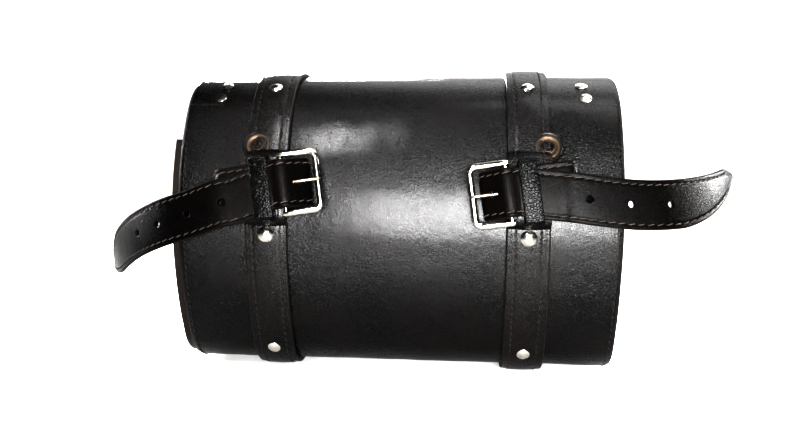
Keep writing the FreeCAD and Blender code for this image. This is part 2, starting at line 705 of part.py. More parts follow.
def make_mounting_belt(side):
    frame = belt_frame(side)
    bar, front = (BAR_U, BAR_N), (BAR_U - FRAME_REACH, BAR_N - 0.4)
    belt = path_strip((BAR_U, BAR_N), 0.0, belt_moves(), BELT_T, BELT_W).fuse(tube_y(EYE_R, *bar, BELT_W))
    belt = buckle_cuts(belt.removeSplitter(), *bar, *front)
    belt = belt.cut(Part.makeCylinder(HOLE_R, 2 * BELT_T, Vector(BELT_HOLE_U[side], 0, TAIL_N - BELT_T)))
    save(put(belt, *frame), "mounting_belt_" + side)
    save(put(buckle_frame(*bar, *front), *frame), "belt_buckle_" + side)
    save(put(prong(*bar, *front), *frame), "belt_prong_" + side)
    low, high = BAR_N - BELT_T / 2 - 0.25, TAIL_N + BELT_T / 2 + 0.25
    save(put(keeper(BELT_KEEPER_U, low, high, BELT_W), *frame), "belt_keeper_" + side)
    save(tail(side, frame), "belt_tail_" + side)


def tail(side, frame):
    """The free end of the belt, lofted along its route to a blunt point, with its punched holes."""
    origin, u, n = frame
    w = n.cross(u)
    points = [origin + u * (TAIL_CUT_U + TAIL_CUT_GAP + k) + n * TAIL_N for k in (0.0, 4.0)]
    points += [Vector(*p) for p in TAIL_ROUTE[side]]
    line = Part.BSplineCurve()
    line.interpolate(points)
    first, last = line.FirstParameter, line.LastParameter
    whole = line.length(first, last)
    up = w if w.z > 0 else w * -1
    sections = []
    for i in range(TAIL_STATIONS):
        share = i / (TAIL_STATIONS - 1)
        t = line.parameterAtDistance(share * whole, first)
        point, way = line.value(t), Vector(*line.tangent(t)[0])
        across = (up - way * (up.dot(way) * min(1.0, 2 * share))).normalize()
        facing = way.cross(across).normalize()
        taper = max(0.0, (share - TAIL_TAPER) / (1 - TAIL_TAPER))
        half = (BELT_W - (BELT_W - TAIL_TIP_W) * taper ** 1.3) / 2
        corners = [point + across * (a * half) + facing * (b * BELT_T / 2) for a, b in
                   ((1, 1), (1, -1), (-1, -1), (-1, 1), (1, 1))]
        sections.append(Part.makePolygon(corners))
    shape = Part.makeLoft(sections, True, True)
    for distance in TAIL_HOLES_U[side]:
        t = line.parameterAtDistance(distance - TAIL_CUT_U, first)
        point, way = line.value(t), Vector(*line.tangent(t)[0])
        across = (up - way * up.dot(way)).normalize()
        facing = way.cross(across)
        shape = shape.cut(Part.makeCylinder(HOLE_R, 12, point - facing * 6, facing))
    return shape


# ---------------------------------------------------------------- closing tabs on the front

def tab_places():
    """Lengths on the lid's section of the tab's parts; they fall as the tab runs down the front."""
    bar = LID.at_height(TAB_BAR_Z, "front")
    return {
        "hinge": LID.at_height(TAB_HINGE_Z, "front"), "bar": bar, "front_bar": bar + FRAME_REACH,
        "tip": LID.at_height(TAB_TAIL_TIP_Z, "front"), "end": LID.at_height(TAB_END_Z, "front"),
        "magnet": LID.at_height(MAGNET_Z, "front"), "keeper": LID.at_height(TAB_KEEPER_Z, "front"),
    }


def tab_tail_gap(s, at):
    """Gap between the lid and the strap end that passes up through the buckle and lies on the tab."""
    level = TAB_UNDER + BELT_T + TAB_LAYERS
    crest = TAB_BAR_OUT + EYE_R + 0.35
    up = ease(at["front_bar"] - s, 1.0, FRAME_REACH - 1.2)
    down = ease(at["bar"] - s, 1.6, 8.0)
    return STRAP_CLEAR + (crest - STRAP_CLEAR) * up - (crest - level) * down


def local_front(at):
    """The flat frame of a front buckle, on the lid's surface at its bar, with u up the front."""
    y, z = LID.at(at["bar"])
    y2, z2 = LID.at(at["front_bar"])
    u = Vector(0, y2 - y, z2 - z).normalize()
    return Vector(0, y, z), u, Vector(0, u.z, -u.y)


def make_closing_tab(side):
    sign = SIDES[side]
    at = tab_places()
    x = sign * STRAP_X
    origin, u, n = local_front(at)
    origin = origin + Vector(x, 0, 0)
    frame = (origin, u, n)
    bar, front = (0.0, TAB_BAR_OUT), (FRAME_REACH, TAB_FRONT_BAR_OUT)

    stations = [(s, TAB_UNDER) for s in spread(at["end"], at["bar"], 3.0)]
    tab = soft_strip(LID, stations, BELT_T, x, STRAP_W)
    tab = tab.fuse(put(tube_y(EYE_R, *bar, STRAP_W), *frame)).removeSplitter()
    local = put_back(tab, frame)
    tab = put(buckle_cuts(local, *bar, *front), *frame)
    tab = tab.common(tab_outline(x, at["end"], STRAP_W, 0.0, True))
    save(drill(tab, LID, at["magnet"], x, CATCH_SHANK + 0.15), "closing_tab_" + side)

    stations = [(s, tab_tail_gap(s, at)) for s in spread(at["tip"], at["hinge"] - 0.3, 1.5)]
    end = soft_strip(LID, stations, STRAP_T, x, STRAP_W)
    end = put(put_back(end, frame).cut(prong_tool(bar, front)), *frame)
    end = end.common(tab_outline(x, at["tip"], STRAP_W, TAB_TIP_LENGTH, False))
    save(end, "strap_end_" + side)
    save(put(buckle_frame(*bar, *front), *frame), "tab_buckle_" + side)
    save(put(prong(*bar, *front), *frame), "tab_prong_" + side)

    low = TAB_UNDER - TAB_LAYERS
    loop = keeper(-KEEPER_L / 2, low, low + BELT_T + STRAP_T + 3 * TAB_LAYERS, STRAP_W)
    save(stand_up(loop, at["keeper"], x), "tab_keeper_" + side)
    make_magnet(side, at)


def stand_up(shape, s, x):
    """Puts a shape on the front at length s, with its X up the front and its Z outward."""
    ny, nz = LID.normal(s)
    return put(shape, Vector(x, *LID.at(s)), Vector(0, -nz, ny), Vector(0, ny, nz))


def put_back(shape, frame):
    """The inverse of put, so that a shape can be cut in a belt's own frame."""
    moved = shape.copy()
    moved.Placement = placement(*frame).inverse().multiply(shape.Placement)
    return moved


def tab_outline(x, s_end, width, point, rounded):
    """A tall prism that trims a strap's lower end, round or pointed, as seen from the front."""
    z = LID.at(s_end)[1]
    half, top = width / 2, 130.0
    corners = [Vector(x - half, 0, top), Vector(x + half, 0, top)]
    if rounded:
        right, left = Vector(x + half, 0, z + half), Vector(x - half, 0, z + half)
        edges = [Part.LineSegment(corners[0], corners[1]).toShape(),
                 Part.LineSegment(corners[1], right).toShape(),
                 Part.Arc(right, Vector(x, 0, z + 0.05), left).toShape(),
                 Part.LineSegment(left, corners[0]).toShape()]
        face = Part.Face(Part.Wire(edges))
    else:
        low = [Vector(x + half, 0, z + point), Vector(x + 2.5, 0, z + 0.05), Vector(x - 2.5, 0, z + 0.05),
               Vector(x - half, 0, z + point)]
        face = Part.Face(Part.makePolygon(corners + low + corners[:1]))
    return face.extrude(Vector(0, 100, 0))


def make_magnet(side, at):
    """The magnet under the tab with its domed rivet, and the steel catch on the body's front wall."""
    x = SIDES[side] * STRAP_X
    under, over = TAB_UNDER - 0.15, TAB_UNDER + BELT_T + 0.05
    cap = dome(*MAGNET_CAP, over)
    post = Part.makeCylinder(CATCH_SHANK, over - under + 0.2, Vector(0, 0, under - 0.1))
    disc = Part.makeCylinder(MAGNET_R, MAGNET_T, Vector(0, 0, under - MAGNET_T))
    save(stand_on(cap.fuse([post, disc]).removeSplitter(), LID, at["magnet"], x), "tab_magnet_" + side)
    plate = Part.makeCylinder(CATCH_R, CATCH_T, Vector(0, 0, 0.05))
    foot = Vector(0, 0, LINER_IN - BURR_GAP - 0.05)
    shank = Part.makeCylinder(CATCH_SHANK, 0.1 + BURR_GAP - LINER_IN, foot)
    burr = Part.makeCylinder(BURR_R, BURR_T, Vector(0, 0, LINER_IN - BURR_GAP - BURR_T))
    catch = plate.fuse([shank, burr]).removeSplitter()
    save(stand_on(catch, BODY, BODY.at_height(MAGNET_Z, "front"), x), "tab_catch_" + side)


def make_all():
    os.makedirs("parts", exist_ok=True)
    make_body()
    make_lid()
    make_straps()
    make_rivets()
    make_eyelets()
    for side in SIDES:
        make_mounting_belt(side)
        make_closing_tab(side)


make_all()
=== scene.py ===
"""The looks of a black leather motorcycle tool bag, over its CAD frame, in metres.

The bag's section, its straps and its belts are drawn as paths, and leather is swept along them. Every
path is read by distance, so that one strap can be cut into the parts that ride the bag, bend over a joint
or ride the lid.
"""

import bisect
import json
import math

import bmesh
import bpy
from mathutils import Matrix, Vector, noise


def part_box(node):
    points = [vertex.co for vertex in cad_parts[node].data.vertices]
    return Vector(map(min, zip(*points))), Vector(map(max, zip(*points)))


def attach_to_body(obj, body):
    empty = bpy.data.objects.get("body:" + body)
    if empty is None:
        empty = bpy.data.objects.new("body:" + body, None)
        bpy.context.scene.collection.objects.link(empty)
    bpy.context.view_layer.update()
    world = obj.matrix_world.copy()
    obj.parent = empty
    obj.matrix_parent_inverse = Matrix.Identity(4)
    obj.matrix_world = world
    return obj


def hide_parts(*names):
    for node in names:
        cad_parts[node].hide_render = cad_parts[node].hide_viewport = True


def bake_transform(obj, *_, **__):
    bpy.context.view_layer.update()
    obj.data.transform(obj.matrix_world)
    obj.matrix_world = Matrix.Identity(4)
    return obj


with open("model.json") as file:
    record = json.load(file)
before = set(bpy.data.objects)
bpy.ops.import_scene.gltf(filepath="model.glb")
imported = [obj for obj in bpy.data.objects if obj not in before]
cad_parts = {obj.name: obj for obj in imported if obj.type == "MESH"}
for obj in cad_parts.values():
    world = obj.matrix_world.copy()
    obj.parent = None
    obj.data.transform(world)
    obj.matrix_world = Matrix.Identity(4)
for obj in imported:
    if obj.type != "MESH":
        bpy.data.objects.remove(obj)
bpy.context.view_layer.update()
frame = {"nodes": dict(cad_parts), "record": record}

MM = 0.001
SIDES = {"left": -1, "right": 1}
ROWS = {"a": -1, "b": 1}    # the two rows of stitches on a strap, and the way each lies from its middle
X = Vector((1, 0, 0))
RECORD = frame["record"]
JOINTS = {joint["name"]: joint for joint in RECORD["behaviour"]["joints"]}
MOUNTS = {mount["name"]: mount for mount in RECORD["mounts"]}

# ---- dimensions

WRAP_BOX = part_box("body_wrap")
LID_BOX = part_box("lid")
HALF_WIDTH = WRAP_BOX[1][0]
WRAP_T = 2.5 * MM
LID_T = 2.4 * MM
MID_HEIGHT = 86.2 * MM
SIDE_RADIUS_UP = 120 * MM
SIDE_RADIUS_LOW = 160 * MM
FLAT_HALF = 14 * MM
WALL_TOP_Z = 122 * MM
LID_EDGE_Z = LID_BOX[0][2]
HINGE_Z = JOINTS["lid_hinge"]["pos_m"][2]
BEND = 6 * MM               # leather bends over this much on each side of the crease
TAB_BEND = 3 * MM           # and over this much on each side of a closing tab's hinge
END_PLATE_X = HALF_WIDTH - 10 * MM
SEAM_INSET = 3 * MM
FLANGE_IN = 2.7 * MM        # the end panels' flange is this far inside the wrap's face
BURR_LEVEL = -4.15 * MM     # where a rivet through the wrap and the liner is clenched

STRAP_X = (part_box("lid_strap_right")[0][0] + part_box("lid_strap_right")[1][0]) / 2
STRAP_W = 23 * MM
STRAP_T = 2.7 * MM
STRAP_GAP = 0.2 * MM
STRAP_SEAM = 4.2 * MM
LOOP_LOW_Z = (86.5 * MM, 90.5 * MM)
LOOP_HIGH_Z = (120.5 * MM, 125.5 * MM)
LOOP_RISE = 3.9 * MM

BELT_W = 25.4 * MM
BELT_T = 2.6 * MM
BELT_SEAM = 2.6 * MM
BAR_R = 1.3 * MM
EYE_R = 2.8 * MM
FRAME_INNER = 27.4 * MM
FRAME_REACH = 18.4 * MM
FRAME_CORNER = 3.6 * MM
WIRE = (1.8 * MM, 1.4 * MM)
KEEPER_T = 1.4 * MM
KEEPER_L = 9.5 * MM
KEEPER_ROOM = 0.7 * MM
BELT_KEEPER_ROOM = 3.1 * MM  # the tail leaves this loose keeper at an angle
HOLE_R = 1.9 * MM

STITCH = 4 * MM
BELT_STITCH = 4.6 * MM
STITCH_SHARE = 0.36         # half a stitch's length over its pitch
STITCH_R = 0.32 * MM
STITCH_LIFT = 0.3 * MM
STITCH_SLANT = 0.35 * MM
GROOVE_DEPTH = 0.28 * MM
GROOVE_W = 0.55 * MM
EDGE_R = 0.9 * MM           # the rounding of a strap's edges


# ---- paths

class Section:
    """The bag's outline in the YZ plane, read by length from its back: down, under, up the front and over."""

    def __init__(self, back, front, low, top):
        half, middle, flat = (front - back) / 2, (front + back) / 2, FLAT_HALF
        down, up = SIDE_RADIUS_LOW, SIDE_RADIUS_UP
        drop, rise = MID_HEIGHT - low, top - MID_HEIGHT
        corner = (down ** 2 - (flat + down - half) ** 2 - drop ** 2) / (2 * (down - drop))
        crown = (up ** 2 - (up - half) ** 2 - rise ** 2) / (2 * (up - rise))
        low_turn = math.atan2(drop - corner, flat + down - half)
        high_turn = math.atan2(rise - crown, up - half)
        pi = math.pi
        self.arcs = [
            (middle + down - half, MID_HEIGHT, down, pi, pi + low_turn),
            (middle - flat, low + corner, corner, pi + low_turn, 1.5 * pi),
            (middle - flat, low, 0.0, 1.5 * pi, 2 * flat),
            (middle + flat, low + corner, corner, 1.5 * pi, 2 * pi - low_turn),
            (middle + half - down, MID_HEIGHT, down, 2 * pi - low_turn, 2 * pi),
            (middle + half - up, MID_HEIGHT, up, 2 * pi, 2 * pi + high_turn),
            (middle, top - crown, crown, 2 * pi + high_turn, 3 * pi - high_turn),
            (middle + up - half, MID_HEIGHT, up, 3 * pi - high_turn, 3 * pi),
        ]
        self.lengths = [arc[4] if arc[2] == 0 else arc[2] * (arc[4] - arc[3]) for arc in self.arcs]
        self.total = sum(self.lengths)

    def at(self, s, out=0.0):
        """The point at length s, moved outward by out, and the outward direction there."""
        s = s % self.total
        for (y, z, radius, start, _), length in zip(self.arcs, self.lengths):
            if s <= length:
                break
            s -= length
        if radius == 0:
            return Vector((0, y + s, z - out)), Vector((0, 0, -1))
        normal = Vector((0, math.cos(start + s / radius), math.sin(start + s / radius)))
        return Vector((0, y, z)) + normal * (radius + out), normal

    def at_height(self, z, side):
        """The length at which the back or front passes height z. The back's upper half ends at the total."""
        lower = z <= MID_HEIGHT
        widest = {"back": 0.0 if lower else self.total, "front": sum(self.lengths[:5])}[side]
        middle = sum(self.lengths[:2]) + FLAT_HALF if lower else sum(self.lengths[:6]) + self.lengths[6] / 2
        for _ in range(40):
            half = (widest + middle) / 2
            if (self.at(half)[0].z > z) == lower:
                widest = half
            else:
                middle = half
        return half


BODY = Section(WRAP_BOX[0][1], WRAP_BOX[1][1], WRAP_BOX[0][2], LID_BOX[1][2])
LID = Section(WRAP_BOX[0][1], LID_BOX[1][1], WRAP_BOX[0][2], LID_BOX[1][2])
CREASE = LID.at_height(HINGE_Z, "back")
LID_FRONT = LID.at_height(LID_EDGE_Z, "front")
WRAP_START = CREASE + BEND - LID.total
WRAP_END = BODY.at_height(WALL_TOP_Z, "front")


class Path:
    """A line through points, read by distance. Across stays as near as it can to one direction."""

    def __init__(self, points, across):
        self.points = points
        self.across = across
        self.reach = [0.0]
        for a, b in zip(points, points[1:]):
            self.reach.append(self.reach[-1] + (b - a).length)
        self.length = self.reach[-1]

    def tangent(self, i):
        i = min(max(i, 0), len(self.points) - 1)
        return (self.points[min(i + 1, len(self.points) - 1)] - self.points[max(i - 1, 0)]).normalized()

    def at(self, d, a=0.0, out=0.0):
        """The point at distance d, moved by a and out, and the across and outward directions there."""
        i = min(max(bisect.bisect_right(self.reach, d) - 1, 0), len(self.points) - 2)
        share = (d - self.reach[i]) / (self.reach[i + 1] - self.reach[i])
        along = self.tangent(i).lerp(self.tangent(i + 1), min(max(share, 0), 1)).normalized()
        across = (self.across - along * along.dot(self.across)).normalized()
        normal = along.cross(across)
        return self.points[i].lerp(self.points[i + 1], share) + across * a + normal * out, across, normal


def ease(x, start, end):
    t = min(1.0, max(0.0, (x - start) / (end - start)))
    return t * t * (3 - 2 * t)


def in_mm(profile, base=0.0):
    """Turned points (radius, height) from millimetres, with heights over base."""
    return [(r * MM, base + h * MM) for r, h in profile]


def spread(start, end, step):
    count = max(1, int(math.ceil(abs(end - start) / step - 1e-6)))
    return [start + (end - start) * i / count for i in range(count + 1)]


def relief(point):
    """How far leather stands off its true surface: the slow waves of a hand-made bag."""
    return 0.35 * MM * noise.noise(point / (48 * MM)) + 0.1 * MM * noise.noise(point / (13 * MM))


# ---- meshes

def put(name, data):
    """A new object in the scene."""
    obj = bpy.data.objects.new(name, data)
    bpy.context.scene.collection.objects.link(obj)
    return obj


class Build:
    """Vertices and faces on their way to one object. Wear is 1 on cut edges and 0 on the leather's face."""

    def __init__(self):
        self.points, self.faces, self.wear = [], [], []

    def grid(self, rows, wear=None, closed=False, capped=False):
        """A net through rows of points. Closed joins each row's ends; capped fills the end rows."""
        base, wide = len(self.points), len(rows[0])
        for row in rows:
            self.points.extend(row)
        self.wear.extend(wear or [0.0] * (len(rows) * wide))
        columns = wide if closed else wide - 1
        for r in range(len(rows) - 1):
            for c in range(columns):
                a, b = base + r * wide + c, base + r * wide + (c + 1) % wide
                self.faces.append((a, b, b + wide, a + wide))
        if capped:
            last = base + (len(rows) - 1) * wide
            self.faces.append(tuple(reversed(range(base, base + wide))))
            self.faces.append(tuple(range(last, last + wide)))
        return self

    def lathe(self, profile, origin, axis, side, steps=40, skip=None):
        """Turns (radius, height) points about an axis. Skip is a range of degrees that stays open."""
        third = axis.cross(side)
        start, end = (skip[1], skip[0] + 360) if skip else (0, 360)
        count = steps + 1 if skip else steps
        rows = []
        for i in range(count):
            turn = math.radians(start + (end - start) * i / steps)
            way = side * math.cos(turn) + third * math.sin(turn)
            rows.append([origin + way * r + axis * h for r, h in profile])
        if not skip:
            rows.append(rows[0])
        return self.grid(rows, capped=bool(skip))

    def tube(self, points, radii, up, sides=16, flat=1.0):
        """A rod through points. Flat is its thickness along up over its thickness across."""
        rows = []
        last = len(points) - 1
        for i, point in enumerate(points):
            along = (points[min(i + 1, last)] - points[max(i - 1, 0)]).normalized()
            across = along.cross(up).normalized()
            high = across.cross(along)
            ring = []
            for k in range(sides):
                turn = 2 * math.pi * k / sides
                ring.append(point + (across * math.cos(turn) + high * (flat * math.sin(turn))) * radii[i])
            rows.append(ring)
        return self.grid(rows, closed=True, capped=True)

    def piece(self, name, material, body=None, stands_for=None):
        """The finished object, smooth but for sharp edges. It may ride a body and stand for a CAD node."""
        mesh = bpy.data.meshes.new(name)
        mesh.from_pydata(self.points, [], self.faces)
        mesh.attributes.new("wear", "FLOAT", "POINT").data.foreach_set("value", self.wear)
        mesh.validate()
        obj = put(name, mesh)
        weld(obj)
        obj.data.polygons.foreach_set("use_smooth", [True] * len(obj.data.polygons))
        obj.data.set_sharp_from_angle(angle=math.radians(38))
        obj.data.materials.append(material)
        if body:
            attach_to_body(obj, body)
        if stands_for:
            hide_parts(stands_for)
        return obj


def weld(obj):
    """Joins points that lie on each other, and makes every face look outward."""
    net = bmesh.new()
    net.from_mesh(obj.data)
    bmesh.ops.remove_doubles(net, verts=net.verts, dist=0.004 * MM)
    bmesh.ops.recalc_face_normals(net, faces=net.faces)
    net.to_mesh(obj.data)
    net.free()


def punch(obj, cuts):
    """Cuts round holes, each given as (centre, direction, radius), right through a piece."""
    tool = Build()
    for centre, axis, radius in cuts:
        side = axis.orthogonal().normalized()
        tool.lathe([(0, -4 * MM), (radius, -4 * MM), (radius, 4 * MM), (0, 4 * MM)], centre, axis, side, 20)
    cutter = tool.piece("cutter", obj.data.materials[0])
    hole = obj.modifiers.new("holes", "BOOLEAN")
    hole.object, hole.solver = cutter, "EXACT"
    bpy.context.view_layer.update()
    cut = bpy.data.meshes.new_from_object(obj.evaluated_get(bpy.context.evaluated_depsgraph_get()))
    obj.modifiers.clear()
    obj.data = cut
    bpy.data.objects.remove(cutter)


def strap_stops(start, end, open_ends):
    """Distances along a strap, each with its share of the full thickness; a closed end is rounded off."""
    closing = [(0.0, 0.45), (0.25 * MM, 0.75), (0.7 * MM, 1.0)]
    stops = [] if open_ends[0] else [(start + d, k) for d, k in closing]
    last = end if open_ends[1] else end - 1.4 * MM
    stops += [(d, 1.0) for d in spread(start + len(stops) * 0.5 * MM, last, 1.2 * MM)]
    stops += [] if open_ends[1] else [(end - d, k) for d, k in reversed(closing)]
    return stops


def sweep(path, start, end, half_width, thickness, crown, seam, open_ends, shift=lambda d: 0.0):
    """A strap along a path: rounded edges, a crowned middle and a groove under each row of stitches.

    Half_width and shift, how far its middle lies across the path, are functions of the distance.
    An end that isn't open is rounded off like a cut strap."""
    rows, wear = [], []
    shares = [math.sin(math.pi / 2 * k) for k in spread(-1, 1, 0.045)]
    for d, squeeze in strap_stops(start, end, open_ends):
        half = half_width(d)
        top, low, worn = [], [], []
        for share in shares:
            inset = half * (1 - abs(share))
            edge = math.sqrt(max(0.0, 1 - (1 - min(1.0, inset / EDGE_R)) ** 2))
            rise = crown * (1 - share * share) * ease(inset, 0.6 * MM, 5 * MM)
            groove = GROOVE_DEPTH * math.exp(-((inset - seam) / GROOVE_W) ** 2)
            height = (thickness / 2) * (0.35 + 0.65 * edge) * squeeze
            top.append(path.at(d, half * share + shift(d), height + (rise - groove) * squeeze)[0])
            low.append(path.at(d, half * share + shift(d), -height)[0])
            worn.append(1.0 if squeeze < 0.5 else 1 - ease(inset, 0.05 * MM, 0.7 * MM))
        rows.append(top + low[::-1])
        wear.extend(worn + [1.0] * len(low))
    return Build().grid(rows, wear, closed=True, capped=True)


def stitches(path, start, end, across, height, pitch=STITCH, hidden=lambda point: False):
    """A row of slanting thread stitches that dive into the leather at both ends.

    Across is a function of the distance. A stitch whose middle is hidden is left out."""
    build = Build()
    count = int((end - start) / pitch)
    for i in range(count):
        middle = start + (i + 0.5) * (end - start) / count
        if hidden(path.at(middle)[0]):
            continue
        points, radii = [], []
        for k in spread(-1, 1, 0.25):
            d = middle + k * STITCH_SHARE * pitch
            lift = height + STITCH_LIFT * (1 - k * k) - STITCH_LIFT * k ** 4
            points.append(path.at(d, across(d) + STITCH_SLANT * k, lift)[0])
            radii.append(STITCH_R * (1 - 0.45 * k ** 4))
        build.tube(points, radii, path.at(middle)[2], sides=7)
    return build


# ---- materials

class Nodes:
    """A material's node tree, with short ways to add and join nodes."""

    def __init__(self, name):
        self.material = bpy.data.materials.new(name)
        self.material.use_nodes = True
        self.tree = self.material.node_tree
        self.surface = self.tree.nodes["Principled BSDF"]
        self.place = self.add("ShaderNodeTexCoord").outputs["Object"]

    def add(self, kind, inputs=None, **settings):
        node = self.tree.nodes.new(kind)
        for key, value in settings.items():
            setattr(node, key, value)
        for key, value in (inputs or {}).items():
            self.link(value, node.inputs[key])
        return node

    def link(self, value, socket):
        if isinstance(value, bpy.types.NodeSocket):
            self.tree.links.new(value, socket)
        else:
            socket.default_value = value

    def noise(self, scale, detail=4.0, rough=0.55):
        return self.add("ShaderNodeTexNoise", {"Vector": self.place, "Scale": scale, "Detail": detail,
                                               "Roughness": rough}).outputs["Fac"]

    def cells(self, scale):
        return self.add("ShaderNodeTexVoronoi", {"Vector": self.place, "Scale": scale},
                        feature="DISTANCE_TO_EDGE").outputs["Distance"]

    def between(self, value, low, high, to_low=0.0, to_high=1.0):
        inputs = {"Value": value, "From Min": low, "From Max": high, "To Min": to_low, "To Max": to_high}
        return self.add("ShaderNodeMapRange", inputs).outputs["Result"]

    def math(self, operation, a, b):
        return self.add("ShaderNodeMath", {0: a, 1: b}, operation=operation).outputs[0]

    def mix(self, share, a, b):
        node = self.add("ShaderNodeMix", data_type="RGBA")
        for key, value in zip((0, 6, 7), (share, a, b)):
            self.link(value, node.inputs[key])
        return node.outputs[2]

    def bump(self, height, strength, distance, under=None):
        inputs = {"Height": height, "Strength": strength, "Distance": distance}
        if under:
            inputs["Normal"] = under
        return self.add("ShaderNodeBump", inputs).outputs["Normal"]

    def set(self, **inputs):
        for key, value in inputs.items():
            self.link(value, self.surface.inputs[key.replace("_", " ")])
        return self.material


def rgb(red, green, blue):
    return (red, green, blue, 1.0)


def leather(name, face, brown, rough, grain, depth, crinkle=0.25, gloss=0.05, level=0.07):
    """Black leather: fine grain, slow brown mottling, faint sparkle, and bare edges where wear is 1."""
    n = Nodes(name)
    worn = n.add("ShaderNodeAttribute", attribute_name="wear").outputs["Fac"]
    mottle = n.noise(22.0, 5.0, 0.6)
    speck = n.noise(1100.0, 2.0)
    tone = n.mix(n.between(mottle, 0.42, 0.72), face, brown)
    tone = n.mix(n.between(n.noise(420.0, 3.0), 0.45, 0.8, 0.0, 0.35), tone, brown)
    colour = n.mix(worn, tone, n.mix(n.noise(180.0), EDGE, brown))
    shine = n.math("ADD", n.between(mottle, 0.3, 0.7, rough - 0.04, rough + 0.06),
                   n.between(speck, 0.3, 0.7, -0.06, 0.06))
    shine = n.math("ADD", shine, n.math("MULTIPLY", worn, 0.25))
    pebble = n.math("MULTIPLY", n.between(n.cells(grain), 0.0, 0.22), crinkle)
    height = n.math("ADD", pebble, n.noise(grain, 3.0, 0.7))
    slow = n.bump(n.noise(60.0, 3.0), 0.35, 0.8 * MM)
    normal = n.bump(height, depth, 0.4 * MM, slow)
    wax = n.bump(height, depth * 0.5, 0.1 * MM, slow)
    n.set(Base_Color=colour, Roughness=shine, Normal=normal, Specular_IOR_Level=level)
    return n.set(Coat_Weight=gloss, Coat_Roughness=0.14, Coat_Normal=wax)


def metal(name, colour, dark, rough, stain):
    """Plated metal with faint wear marks, fingerprints and small dents."""
    n = Nodes(name)
    smear = n.noise(160.0, 6.0, 0.65)
    spot = n.between(n.noise(620.0, 4.0, 0.7), 0.55, 0.75, 0.0, stain)
    shine = n.math("ADD", n.between(smear, 0.35, 0.7, rough, rough + 0.14), n.math("MULTIPLY", spot, 0.3))
    bump = n.bump(n.noise(900.0, 3.0), 0.12, 0.05 * MM, n.bump(n.noise(130.0), 0.25, 0.2 * MM))
    return n.set(Base_Color=n.mix(spot, colour, dark), Metallic=1.0, Roughness=shine, Normal=bump)


def thread(name, dark, light):
    """Waxed thread with a twist, and a little dirt."""
    n = Nodes(name)
    twist = n.add("ShaderNodeTexWave", {"Vector": n.place, "Scale": 900.0, "Distortion": 3.0},
                  bands_direction="DIAGONAL").outputs["Fac"]
    colour = n.mix(n.noise(240.0), dark, light)
    bump = n.bump(twist, 0.6, 0.15 * MM)
    return n.set(Base_Color=colour, Roughness=0.7, Normal=bump, Specular_IOR_Level=0.1)


def board():
    """Black fibre board with a short nap, inside the bag."""
    n = Nodes("liner_board")
    fibre = n.noise(700.0, 5.0, 0.7)
    colour = n.mix(fibre, rgb(0.012, 0.012, 0.012), rgb(0.045, 0.042, 0.04))
    return n.set(Base_Color=colour, Roughness=0.85, Normal=n.bump(fibre, 0.5, 0.2 * MM), Sheen_Weight=0.4)


def backdrop_paper():
    """The studio's pale floor and backdrop."""
    n = Nodes("floor")
    colour = n.mix(n.noise(2.0, 2.0), rgb(0.47, 0.47, 0.465), rgb(0.50, 0.50, 0.495))
    return n.set(Base_Color=colour, Roughness=0.7, Specular_IOR_Level=0.2)


EDGE = rgb(0.005, 0.0034, 0.0024)
BLACK = leather("black_leather", rgb(0.0002, 0.0002, 0.0002), rgb(0.0008, 0.0005, 0.0004),
                rough=0.28, grain=800.0, depth=0.75)
STRAP = leather("strap_leather", rgb(0.0004, 0.0003, 0.0003), rgb(0.0014, 0.0009, 0.0007),
                rough=0.27, grain=900.0, depth=0.8)
BELT = leather("belt_leather", rgb(0.0004, 0.0003, 0.0003), rgb(0.0012, 0.0008, 0.0006),
               rough=0.30, grain=1100.0, depth=0.5, gloss=0.01, level=0.02)
KEEPER = leather("keeper_leather", rgb(0.0006, 0.0006, 0.0006), rgb(0.0012, 0.0011, 0.001),
                 rough=0.26, grain=620.0, depth=0.8, crinkle=1.6, gloss=0.04, level=0.03)
RAW = leather("raw_edge", rgb(0.02, 0.012, 0.007), rgb(0.05, 0.032, 0.02),
              rough=0.7, grain=1400.0, depth=0.5, gloss=0.0)
THREAD = thread("black_thread", rgb(0.003, 0.0026, 0.0024), rgb(0.014, 0.011, 0.009))
BROWN_THREAD = thread("brown_thread", rgb(0.007, 0.0058, 0.005), rgb(0.028, 0.0225, 0.019))
CHROME = metal("chrome", rgb(0.27, 0.26, 0.235), rgb(0.06, 0.045, 0.03), 0.10, 0.5)
# A darker copy of the chrome for the prongs: painted shade, for the shadow the frames cast over them.
SHADED_CHROME = metal("chrome_painted_shade", rgb(0.11, 0.09, 0.07), rgb(0.035, 0.025, 0.018), 0.22, 0.6)
NICKEL = metal("rivet_nickel", rgb(0.27, 0.255, 0.235), rgb(0.07, 0.052, 0.036), 0.16, 0.5)
BRASS = metal("eyelet_brass", rgb(0.019, 0.0145, 0.011), rgb(0.005, 0.004, 0.0032), 0.45, 1.0)
BOARD = board()


# ---- the bag's leather

def section_path(section, start, end, out):
    """A path along a section at an offset; out may be a function of the height."""
    points = []
    for s in spread(start, end, 1.0 * MM):
        gap = out(section.at(s)[0].z) if callable(out) else out
        points.append(section.at(s, gap)[0])
    return Path(points, X)


def end_inset(x):
    """How far inside the bag's nearer end x is."""
    return HALF_WIDTH - abs(x)


